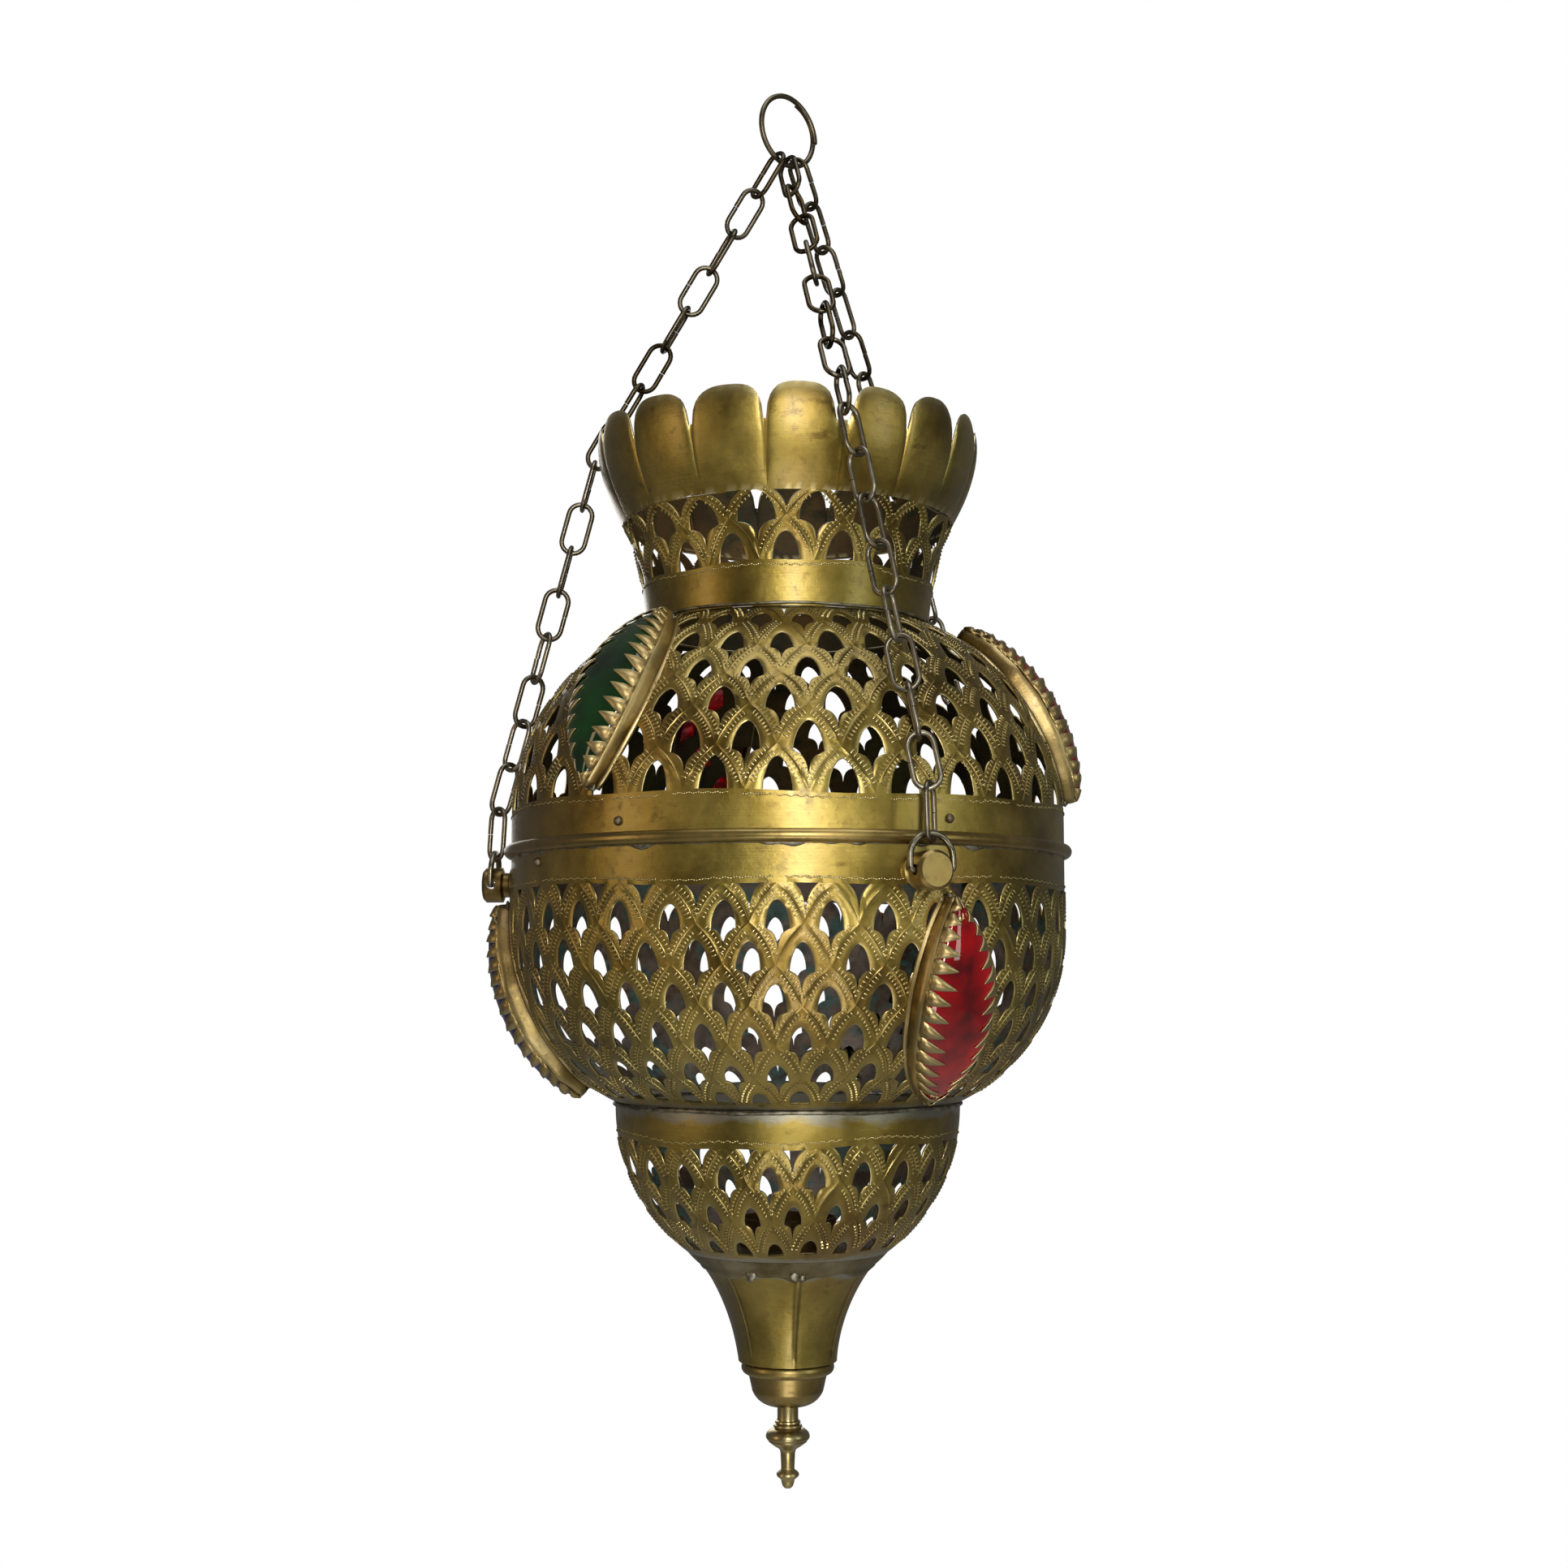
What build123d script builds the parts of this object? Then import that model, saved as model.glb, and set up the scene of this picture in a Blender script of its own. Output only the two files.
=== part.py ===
"""Hanging lantern: pierced brass body, glass jewels, three chains and a split ring.

Millimetres, +Z up. The origin is the hook seat, the inside of the ring's top, and the body hangs
below it about the Z axis. An azimuth of 0 points along -Y and a positive one turns towards +X.
Round pieces are made on the +X side and turned to their azimuth.
"""

import os
from math import asin, atan2, cos, degrees, pi, radians, sin, sqrt

from build123d import *

os.makedirs("parts", exist_ok=True)

# ---------------------------------------------------------------- driving dimensions
RING_INNER_R = 14.5
RING_WIRE_R = 1.2
RING_AZIMUTH = 43.0  # the way the ring's flat side faces
RING_SPLIT_TURN = 43.0  # where the wire's ends meet, from the ring's top
RING_SPLIT = 0.3

LINK_WIRE_R = 1.1
LINK_WIDTH = 12.5
LINK_LENGTH = 24.7
UPPER_LINKS = 8  # from the ring to the crown's rim
SIDE_LINKS = 8  # from the rim to the dome's shoulder, and one more hooks the bail
RING_PLAY = 0.6
BAIL_PLAY = 0.8

SHEET = 0.8
JOINT_GAP = 0.1

# heights below the hook seat
PETAL_TIP_Z = -152.0
NOTCH_Z = -167.8
NECK_Z = -240.1
SEAM_Z = -337.8
STUD_Z = -350.8
BOWL_FOOT_Z = -443.2
CUP_TOP_Z = -444.0
CUP_FOOT_Z = -505.6
CONE_TOP_Z = -511.0
CONE_FOOT_Z = -551.4
CAP_TOP_Z = -556.9
CAP_FOOT_Z = -570.0
TIP_Z = -604.3
CAP_FLOOR = 1.3

NECK_R = 61.2
RIM_R = 82.4
BODY_R = 118.3

# meridian arcs of the body as (centre radius, centre height, arc radius)
DOME_ARC = (29.3, -323.3, 89.0)
BOWL_ARC = (38.8, -371.4, 79.5)
CUP_ARC = (-3.5, -444.3, 76.8)
CONE_ARC = (102.0, -560.3, 81.5)

PETAL_COUNTS = (5, 6, 5)  # petals between one chain's notch and the next

# each chain: azimuth of its stud, azimuth of its notch, place along the ring's foot
CHAINS = {
    "left": (-93.0, -96.65, -6.2),
    "front": (25.0, 15.85, -0.4),
    "back": (132.0, 142.0, 6.2),
}
CHAIN_RIM_R = 86.4  # where the taut chain bends over the rim
CHAIN_SHOULDER_R = 126.1  # where it bends over the dome's shoulder
SHOULDER_TWIST = 45.0  # how far the links there are turned from lying flat

STUD_HEAD_R = 7.6
STUD_BORE_R = 2.1
STUD_BORE_AT = 127.8
BAIL_WIRE_R = 1.25
BAIL_HALF = 9.2
BAIL_REACH = 14.0

JEWELS = {
    "dome": (DOME_ARC, 30.0, {"left": (-40.0, 0), "right": (80.0, 0), "back": (200.0, 0)}),
    "bowl": (BOWL_ARC, -21.8, {"left": (-84.0, 0), "right": (33.8, 8), "back": (156.0, 0)}),
}
JEWEL_HALF_LENGTH = 45.5
JEWEL_HALF_WIDTH = 17.0
JEWEL_RISE = 10.5
BEZEL_WALL = 2.6
BEZEL_EDGE = 5.0
BEZEL_RISE = 7.5

RIVETS = ((-33.5, -331.0), (31.5, -330.2), (-58.0, -344.8), (151.0, -331.0), (208.0, -344.5))
RIVET_R = 1.9

CANDLE_CUP_R = 19.75
CANDLE_CUP_HEIGHT = 12.0
PLATE_Z = -503.8


# ---------------------------------------------------------------- helpers
def save(shape, node):
    export_step(shape, f"parts/{node}.step")


def group(solids):
    return Compound(children=list(solids))


def at_azimuth(shape, azimuth):
    """Turns a piece made on the +X side to its azimuth."""
    return shape.rotate(Axis.Z, azimuth - 90)


def polar(radius, azimuth, z):
    return Vector(radius * sin(radians(azimuth)), -radius * cos(radians(azimuth)), z)


def arc_point(arc, angle, extra=0.0):
    """A point of the meridian at an angle above the arc's level, moved outward by extra."""
    centre_r, centre_z, radius = arc
    reach = radius + extra
    return centre_r + reach * cos(radians(angle)), centre_z + reach * sin(radians(angle))


def angle_at_height(arc, z, extra=0.0):
    return degrees(asin((z - arc[1]) / (arc[2] + extra)))


def turned(outline):
    """Revolves a closed outline drawn in the XZ plane about the Z axis."""
    return revolve(make_face(outline), axis=Axis.Z)


def xz(*points):
    return [Vector(r, 0, z) for r, z in points]


def ring_section(centre_r, centre_z, radius):
    """A round solder or wire ring about the Z axis."""
    section = Plane(origin=(centre_r, 0, centre_z), x_dir=(1, 0, 0), z_dir=(0, -1, 0)) * Circle(radius)
    return revolve(section, axis=Axis.Z)


def arc_edge(arc, start, end, extra=0.0):
    angles = (start, (start + end) / 2, end)
    return ThreePointArc(*xz(*(arc_point(arc, angle, extra) for angle in angles)))


def bowed_shell(arc, top, foot, band_z=None):
    """Sheet shell along a meridian arc between two angles, with a straight band at the wide end."""
    outer = arc_edge(arc, top, foot)
    inner = arc_edge(arc, foot, top, -SHEET)
    foot_edge = Line(outer @ 1, inner @ 0)
    top_edge = Line(inner @ 1, outer @ 0)
    if band_z is not None and band_z < arc[1]:
        band = (Vector((outer @ 1).X, 0, band_z), Vector((inner @ 0).X, 0, band_z))
        foot_edge = Polyline(outer @ 1, *band, inner @ 0)
    elif band_z is not None:
        band = (Vector((inner @ 1).X, 0, band_z), Vector((outer @ 0).X, 0, band_z))
        top_edge = Polyline(inner @ 1, *band, outer @ 0)
    return turned(outer + foot_edge + inner + top_edge)


# ---------------------------------------------------------------- ring and chains
def suspension_ring():
    """Upright ring of round wire, cut across where its ends meet."""
    centre_r = RING_INNER_R + RING_WIRE_R
    ring = ring_section(centre_r, 0, RING_WIRE_R)
    cut = Location((centre_r, 0, 0)) * Box(4 * RING_WIRE_R, RING_SPLIT, 4 * RING_WIRE_R)
    ring = ring - cut.rotate(Axis.Z, 90 - RING_SPLIT_TURN)
    upright = ring.rotate(Axis.X, 90).moved(Location((0, 0, -RING_INNER_R)))
    return upright.rotate(Axis.Z, RING_AZIMUTH)


def ring_foot(place):
    """Centre and direction of the ring's wire, a distance along its foot from the lowest point."""
    centre_r = RING_INNER_R + RING_WIRE_R
    turn = place / centre_r
    level = Vector(cos(radians(RING_AZIMUTH)), sin(radians(RING_AZIMUTH)), 0)
    up = Vector(0, 0, 1)
    point = level * (centre_r * sin(turn)) - up * (RING_INNER_R + centre_r * cos(turn))
    return point, level * cos(turn) + up * sin(turn)


def link():
    """Oblong wire link, long side along Z and flat in the XZ plane."""
    half_width = LINK_WIDTH / 2 - LINK_WIRE_R
    top = LINK_LENGTH / 2 - LINK_WIRE_R - half_width
    path = Line((half_width, 0, -top), (half_width, 0, top))
    path += ThreePointArc((half_width, 0, top), (0, 0, top + half_width), (-half_width, 0, top))
    path += Line((-half_width, 0, top), (-half_width, 0, -top))
    path += ThreePointArc((-half_width, 0, -top), (0, 0, -top - half_width), (half_width, 0, -top))
    section = Plane(origin=(half_width, 0, -top), z_dir=(0, 0, 1)) * Circle(LINK_WIRE_R)
    return sweep(section, path=path)


def upper_length(pitch):
    """From the ring's wire to the joint over the rim, for links a pitch apart."""
    hook = RING_WIRE_R + LINK_WIRE_R + RING_PLAY
    return LINK_LENGTH / 2 - LINK_WIRE_R - hook + (UPPER_LINKS - 0.5) * pitch


def last_length(pitch):
    """From the joint over the shoulder to the stud's cross bore, through one link and the bail."""
    hook = BAIL_WIRE_R + LINK_WIRE_R + BAIL_PLAY
    return pitch / 2 + LINK_LENGTH / 2 - LINK_WIRE_R - hook + BAIL_REACH


def chain_joints(side):
    """Ring wire, rim joint, shoulder joint and cross bore of one chain, and the pitch that fits them."""
    stud_azimuth, notch_azimuth, place = CHAINS[side]
    top, _ = ring_foot(place)
    bore = polar(STUD_BORE_AT, stud_azimuth, STUD_Z)
    low, high = NOTCH_Z - 40, NOTCH_Z + 40
    pitch = LINK_LENGTH
    for _ in range(60):
        rim = polar(CHAIN_RIM_R, notch_azimuth, (low + high) / 2)
        rise = sqrt(last_length(pitch) ** 2 - (CHAIN_SHOULDER_R - STUD_BORE_AT) ** 2)
        shoulder = polar(CHAIN_SHOULDER_R, stud_azimuth, STUD_Z + rise)
        pitch = (rim - shoulder).length / SIDE_LINKS
        if (rim - top).length > upper_length(pitch):
            low = rim.Z
        else:
            high = rim.Z
    return top, rim, shoulder, bore, pitch


def placed_link(centre, along, twist):
    """One link centred at a point; twist 0 lays it flat to the body and 90 puts it on edge."""
    sideways = along.cross(Vector(0, 0, 1)).normalized()
    outward = sideways.cross(along).normalized()
    width = sideways * cos(radians(twist)) + outward * sin(radians(twist))
    return Plane(origin=centre, x_dir=width, z_dir=along).location * link()


def ring_twist(along, wire):
    """Twist that squares a link to the ring's wire."""
    sideways = along.cross(Vector(0, 0, 1)).normalized()
    outward = sideways.cross(along).normalized()
    width = wire.cross(along)
    twist = degrees(atan2(width.dot(outward), width.dot(sideways)))
    return (twist + 90) % 180 - 90


def chain(side):
    """Both runs of one chain and its bail; links lie flat and on edge by turns."""
    top, rim, shoulder, bore, pitch = chain_joints(side)
    down = (rim - top).normalized()
    twist = ring_twist(down, ring_foot(CHAINS[side][2])[1])
    upper = []
    for index in range(UPPER_LINKS):
        centre = rim - down * (pitch * (UPPER_LINKS - index - 0.5))
        base = 0 if index % 2 == 0 else 90
        upper.append(placed_link(centre, down, base + twist * max(0.0, 1 - index / 5)))
    down = (shoulder - rim).normalized()
    lower = []
    for index in range(SIDE_LINKS):
        centre = rim + down * (pitch * (index + 0.5))
        lean = SHOULDER_TWIST * min(1.0, max(0.0, (index - 2) / 4))
        lower.append(placed_link(centre, down, lean if index % 2 == 0 else lean - 90))
    down = (bore - shoulder).normalized()
    lower.append(placed_link(shoulder + down * (pitch / 2), down, SHOULDER_TWIST))
    save(group(upper), f"chain_{side}_upper")
    save(group(lower), f"chain_{side}_lower")
    save(bail(bore, (shoulder - bore).normalized(), CHAINS[side][0]), f"bail_{side}")


def bail(bore, up, azimuth):
    """D of wire: two ends in the cross bore, two legs beside the head and a round bow."""
    tuck = STUD_HEAD_R - 3.2
    bend = 1.6
    leg_top = BAIL_REACH - BAIL_HALF
    half = Line((tuck, 0, 0), (BAIL_HALF - bend, 0, 0))
    half += ThreePointArc(
        (BAIL_HALF - bend, 0, 0),
        (BAIL_HALF - bend * (1 - sin(pi / 4)), 0, bend * (1 - cos(pi / 4))),
        (BAIL_HALF, 0, bend),
    )
    half += Line((BAIL_HALF, 0, bend), (BAIL_HALF, 0, leg_top))
    half += ThreePointArc(
        (BAIL_HALF, 0, leg_top),
        (BAIL_HALF * cos(pi / 4), 0, leg_top + BAIL_HALF * sin(pi / 4)),
        (0, 0, BAIL_REACH),
    )
    section = Plane(origin=(tuck, 0, 0), z_dir=(1, 0, 0)) * Circle(BAIL_WIRE_R)
    right = sweep(section, path=half)
    wire = right + right.mirror(Plane.YZ)
    tangent = polar(1, azimuth + 90, 0)
    return Plane(origin=bore, x_dir=tangent, z_dir=up).location * wire


# ---------------------------------------------------------------- studs
def stud():
    """Turned spool on the band: shank, flange, neck and a cross-bored barrel head, axis along X."""
    profile = [
        (112.0, 2.4),
        (BODY_R + 0.05, 2.4),
        (BODY_R + 0.05, 7.4),
        (BODY_R + 1.6, 7.4),
        (BODY_R + 2.4, 5.4),
        (BODY_R + 4.6, 5.4),
        (BODY_R + 5.4, STUD_HEAD_R),
        (BODY_R + 12.4, STUD_HEAD_R),
        (BODY_R + 13.6, STUD_HEAD_R - 1.2),
    ]
    points = [Vector(x, 0, STUD_Z + r) for x, r in profile]
    outline = Polyline(
        Vector(profile[0][0], 0, STUD_Z), *points, Vector(profile[-1][0], 0, STUD_Z), close=True
    )
    spool = revolve(make_face(outline), axis=Axis((0, 0, STUD_Z), (1, 0, 0)))
    bore = Location((STUD_BORE_AT, 0, STUD_Z), (90, 0, 0)) * Cylinder(STUD_BORE_R, 4 * STUD_HEAD_R)
    return spool - bore


def stud_nut():
    """Square nut on the shank, behind the band."""
    thickness = 3.0
    block = Location((BODY_R - SHEET - 0.15 - thickness / 2, 0, STUD_Z)) * Box(thickness, 9.0, 9.0)
    hole = Location((BODY_R - SHEET, 0, STUD_Z), (0, 90, 0)) * Cylinder(2.5, 4 * thickness)
    return block - hole


# ---------------------------------------------------------------- body shells
def notch_azimuths():
    """Azimuths of the notches between petals: the three chain notches, evenly divided between."""
    starts = sorted(notch for _, notch, _ in CHAINS.values())
    ends = starts[1:] + [starts[0] + 360]
    found = []
    for start, end, count in zip(starts, ends, PETAL_COUNTS):
        found += [start + (end - start) * step / count for step in range(count)]
    return found


def notch_cutter(half_pitch):
    """Gap between two petals: a narrow round foot flaring to both petals' tips."""
    foot_r = 3.2
    waist = (4.5, PETAL_TIP_Z - 6)
    tip = (half_pitch, PETAL_TIP_Z + 0.4)
    over = PETAL_TIP_Z + 4
    foot = (foot_r, NOTCH_Z + foot_r)
    right = Spline(foot, waist, tip, tangents=((0.05, 1), (1, 0.05)))
    lid = Polyline(tip, (half_pitch, over), (-half_pitch, over), (-tip[0], tip[1]))
    left = Spline((-tip[0], tip[1]), (-waist[0], waist[1]), (-foot_r, foot[1]),
                  tangents=((1, -0.05), (0.05, -1)))
    bottom = ThreePointArc((-foot_r, foot[1]), (0, NOTCH_Z), foot)
    face = Plane.YZ * make_face(right + lid + left + bottom)
    return extrude(face, 1.3 * RIM_R)


def crown():
    """Flared crown whose upper edge is cut into petals."""
    height = PETAL_TIP_Z - NECK_Z - JOINT_GAP
    foot = NECK_Z + JOINT_GAP
    shape = ((NECK_R, 0.0), (64.4, 0.26), (69.2, 0.45), (76.2, 0.62), (81.0, 0.77), (RIM_R, 1.0))
    outer = Spline(*xz(*((r, foot + height * share) for r, share in shape)))
    inner = Spline(*xz(*((r - SHEET, foot + height * share) for r, share in reversed(shape))))
    shell = turned(outer + Line(outer @ 1, inner @ 0) + inner + Line(inner @ 1, outer @ 0))
    half_pitch = pi * RIM_R / sum(PETAL_COUNTS)
    cutter = notch_cutter(half_pitch)
    for azimuth in notch_azimuths():
        shell = shell - at_azimuth(cutter, azimuth)
    return shell


def upper_dome():
    top = angle_at_height(DOME_ARC, NECK_Z)
    return bowed_shell(DOME_ARC, top, 0.0, band_z=SEAM_Z + JOINT_GAP)


def lower_bowl():
    foot = angle_at_height(BOWL_ARC, BOWL_FOOT_Z)
    shell = bowed_shell(BOWL_ARC, 0.0, foot, band_z=SEAM_Z - JOINT_GAP)
    hole = Location((BODY_R, 0, STUD_Z), (0, 90, 0)) * Cylinder(2.5, 12)
    for stud_azimuth, _, _ in CHAINS.values():
        shell = shell - at_azimuth(hole, stud_azimuth)
    return shell


def lower_cup():
    return bowed_shell(CUP_ARC, angle_at_height(CUP_ARC, CUP_TOP_Z), angle_at_height(CUP_ARC, CUP_FOOT_Z))


def cone_collar():
    """Tinned collar that joins the cup's foot to the cone's scalloped top."""
    top = arc_point(CUP_ARC, angle_at_height(CUP_ARC, CUP_FOOT_Z - JOINT_GAP))
    foot_r = cone_radius(CONE_TOP_Z + JOINT_GAP)
    outline = Polyline(*xz(top, (foot_r, CONE_TOP_Z + JOINT_GAP), (foot_r - SHEET, CONE_TOP_Z + JOINT_GAP),
                           (top[0] - SHEET, top[1])), close=True)
    return turned(outline)


def cone_radius(z):
    return CONE_ARC[0] - sqrt(CONE_ARC[2] ** 2 - (z - CONE_ARC[1]) ** 2)


def fluted_cone():
    middle = (CONE_TOP_Z + CONE_FOOT_Z) / 2
    levels = (CONE_TOP_Z, middle, CONE_FOOT_Z)
    outer = ThreePointArc(*xz(*((cone_radius(z), z) for z in levels)))
    inner = ThreePointArc(*xz(*((cone_radius(z) - SHEET, z) for z in reversed(levels))))
    return turned(outer + Line(outer @ 1, inner @ 0) + inner + Line(inner @ 1, outer @ 0))


def equator_bead():
    """Half-round moulding over the seam between dome and bowl."""
    rise = 3.2
    half = 2.6
    inside = BODY_R + 0.05
    outline = ThreePointArc(*xz((inside, SEAM_Z - half), (inside + rise, SEAM_Z), (inside, SEAM_Z + half)))
    return turned(outline + Line(outline @ 1, outline @ 0))


def roll_bead():
    """Rolled ring between the cone's foot and the cap."""
    top, foot = CONE_FOOT_Z - JOINT_GAP, CAP_TOP_Z + JOINT_GAP
    middle = (top + foot) / 2
    outer = ThreePointArc(*xz((18.2, top), (19.6, middle), (17.2, foot)))
    back = Polyline(*xz((17.2, foot), (15.4, foot), (15.4, top), (18.2, top)))
    return turned(outer + back)


def base_cap():
    """Turned cup that closes the cone, bored for the finial's shank."""
    top, foot = CAP_TOP_Z, CAP_FOOT_Z
    hole_r = 2.7
    floor = foot + CAP_FLOOR
    waist = foot + 6.2
    outer = Line(*xz((hole_r, foot), (6.5, foot)))
    outer += ThreePointArc(*xz((6.5, foot), (11.8, foot + 2.0), (15.0, waist)))
    outer += Polyline(*xz((15.0, waist), (16.6, top), (15.4, top), (13.7, waist)))
    inner = ThreePointArc(*xz((13.7, waist), (11.9, foot + 3.7), (7.2, floor)))
    inner += Polyline(*xz((7.2, floor), (hole_r, floor), (hole_r, foot)))
    return turned(outer + inner)


def finial():
    """Turned drop: shank, stem, collar, knurled disc, thin stem, small disc and tip."""
    foot = CAP_FOOT_Z - 0.05
    down = foot - TIP_Z
    shares = ((4.4, 0), (4.4, 0.18), (5.4, 0.2), (5.9, 0.26), (8.4, 0.31), (9.3, 0.36), (8.9, 0.41),
              (6.5, 0.46), (3.5, 0.53), (2.8, 0.77), (4.4, 0.79), (4.8, 0.83), (3.0, 0.88),
              (2.5, 0.93), (1.5, 1))
    steps = [(2.5, foot + 7.0), (2.5, foot), *((r, foot - share * down) for r, share in shares)]
    outline = Polyline(*xz((0, foot + 7.0), *steps, (0, foot - down)), close=True)
    return turned(outline)


def finial_nut():
    seat = CAP_FOOT_Z + CAP_FLOOR + 0.05
    block = Location((0, 0, seat + 1.5)) * extrude(RegularPolygon(4.6, 6), 1.5, both=True)
    return block - Location((0, 0, seat)) * Cylinder(2.55, 12)


# ---------------------------------------------------------------- inside
def candle_plate():
    """Round plate wedged in the narrowing foot of the cup."""
    inner_r = arc_point(CUP_ARC, angle_at_height(CUP_ARC, PLATE_Z - 1.0, -SHEET), -SHEET)[0] - 0.1
    return Location((0, 0, PLATE_Z - 0.5)) * Cylinder(inner_r, 1.0)


def candle_cup():
    """Shallow cup for a small candle, on the plate."""
    wall = 0.7
    floor_z = PLATE_Z + 0.02
    radius = CANDLE_CUP_R + wall
    middle = floor_z + CANDLE_CUP_HEIGHT / 2
    outer = Location((0, 0, middle)) * Cylinder(radius, CANDLE_CUP_HEIGHT)
    inner = Location((0, 0, middle + wall)) * Cylinder(CANDLE_CUP_R, CANDLE_CUP_HEIGHT)
    return outer - inner


# ---------------------------------------------------------------- jewels
def almond(half_length, half_width):
    """Pointed oval in the YZ plane, long along Z."""
    right = ThreePointArc((0, -half_length), (half_width, 0), (0, half_length))
    left = ThreePointArc((0, half_length), (-half_width, 0), (0, -half_length))
    return Plane.YZ * make_face(right + left)


def around_arc(arc, section):
    """Sweeps a section drawn across the meridian round the arc's centre, for the jewel's length."""
    axis = Axis((arc[0], 0, arc[1]), (0, 1, 0))
    return revolve(section.rotate(axis, 50), axis=axis, revolution_arc=-100)


def across(arc, *points):
    """Points across the jewel, as (sideways, height above the shell), at the arc's own level."""
    return [Vector(arc[0] + arc[2] + rise, side, arc[1]) for side, rise in points]


def jewel(arc, lean, tilt, inner_half_length, inner_half_width):
    """Glass and bezel made on the arc's level, then tilted in their seat and leaned along the meridian."""
    base, rim = 0.3, 3.5
    half = JEWEL_HALF_WIDTH
    lens = ThreePointArc(*across(arc, (-half, rim), (0, JEWEL_RISE), (half, rim)))
    bottom = Polyline(*across(arc, (half, rim), (half, base), (-half, base), (-half, rim)))
    pillow = around_arc(arc, make_face(lens + bottom))
    reach = arc[0] + arc[2]
    plan = extrude(almond(inner_half_length, inner_half_width), 3 * reach, dir=(1, 0, 0))
    plan = plan.moved(Location((0, 0, arc[1])))
    glass = pillow & plan
    wide = half + BEZEL_WALL
    sunk = -4.0  # the collar starts inside the shell and is trimmed to it afterwards
    band = across(arc, (-wide, sunk), (wide, sunk), (wide, BEZEL_EDGE), (0, BEZEL_RISE),
                  (-wide, BEZEL_EDGE))
    collar = around_arc(arc, make_face(Polyline(*band, close=True)))
    outer = extrude(almond(JEWEL_HALF_LENGTH, wide), 3 * reach, dir=(1, 0, 0)).moved(Location((0, 0, arc[1])))
    gap = 0.05
    hollow = extrude(almond(inner_half_length + gap, inner_half_width + gap), 3 * reach, dir=(1, 0, 0))
    bezel = (collar & outer) - hollow.moved(Location((0, 0, arc[1])))
    outward = Axis((0, 0, arc[1]), (1, 0, 0))
    axis = Axis((arc[0], 0, arc[1]), (0, 1, 0))
    return [piece.rotate(outward, tilt).rotate(axis, -lean) for piece in (glass, bezel)]


def shell_core(arc, top, foot, band_z):
    """Everything inside a shell's outer face, used to seat the bezels on it."""
    outer = arc_edge(arc, top, foot, 0.05)
    start, end = outer @ 0, outer @ 1
    low, high = min(end.Z, band_z), max(start.Z, band_z)
    points = [end]
    if band_z < arc[1]:
        points.append(Vector(end.X, 0, low))
    points += [Vector(0, 0, low), Vector(0, 0, high)]
    if band_z > arc[1]:
        points.append(Vector(start.X, 0, high))
    return turned(outer + Polyline(*points, start))


def jewels():
    inner_half_length = JEWEL_HALF_LENGTH - 2 * BEZEL_WALL
    cores = {
        "dome": shell_core(DOME_ARC, angle_at_height(DOME_ARC, NECK_Z), 0.0, SEAM_Z),
        "bowl": shell_core(BOWL_ARC, 0.0, angle_at_height(BOWL_ARC, BOWL_FOOT_Z), SEAM_Z),
    }
    for level, (arc, lean, places) in JEWELS.items():
        for place, (azimuth, tilt) in places.items():
            glass, bezel = jewel(arc, lean, tilt, inner_half_length, JEWEL_HALF_WIDTH)
            save(at_azimuth(glass - cores[level], azimuth), f"{level}_glass_{place}")
            save(at_azimuth(bezel - cores[level], azimuth), f"{level}_bezel_{place}")


def band_rivets():
    """Small domed heads on the plain bands either side of the bead."""
    heads = []
    for azimuth, z in RIVETS:
        head = Location((BODY_R + 0.05, 0, z)) * Sphere(RIVET_R)
        keep = Location((BODY_R + 0.05 + 2, 0, z)) * Box(4, 8, 8)
        heads.append(at_azimuth(head & keep, azimuth))
    return heads


# ---------------------------------------------------------------- build
save(suspension_ring(), "suspension_ring")
for side in CHAINS:
    chain(side)
    save(at_azimuth(stud(), CHAINS[side][0]), f"stud_{side}")
save(group(at_azimuth(stud_nut(), azimuth) for azimuth, _, _ in CHAINS.values()), "stud_nuts")
save(crown(), "crown")
save(ring_section(62.15, NECK_Z + 1.0, 0.7), "neck_solder")
save(upper_dome(), "upper_dome")
save(equator_bead(), "equator_bead")
save(lower_bowl(), "lower_bowl")
save(ring_section(74.5, BOWL_FOOT_Z - 1.0, 0.9), "bowl_solder")
save(lower_cup(), "lower_cup")
save(cone_collar(), "cone_collar")
save(fluted_cone(), "fluted_cone")
save(roll_bead(), "roll_bead")
save(base_cap(), "base_cap")
save(finial(), "finial")
save(finial_nut(), "finial_nut")
save(candle_plate(), "candle_plate")
save(candle_cup(), "candle_cup")
save(group(band_rivets()), "band_rivets")
jewels()
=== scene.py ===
"""Hanging lantern: pierced and chased brass, jewels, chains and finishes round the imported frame.

Shapes are worked out in millimetres in the frame's own axes (+Z up, hook seat at the origin) and
scaled to metres when a mesh is made. An azimuth of 0 faces -Y and a positive one turns towards +X.
"""

from math import atan2, cos, degrees, hypot, pi, radians, sin

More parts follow.
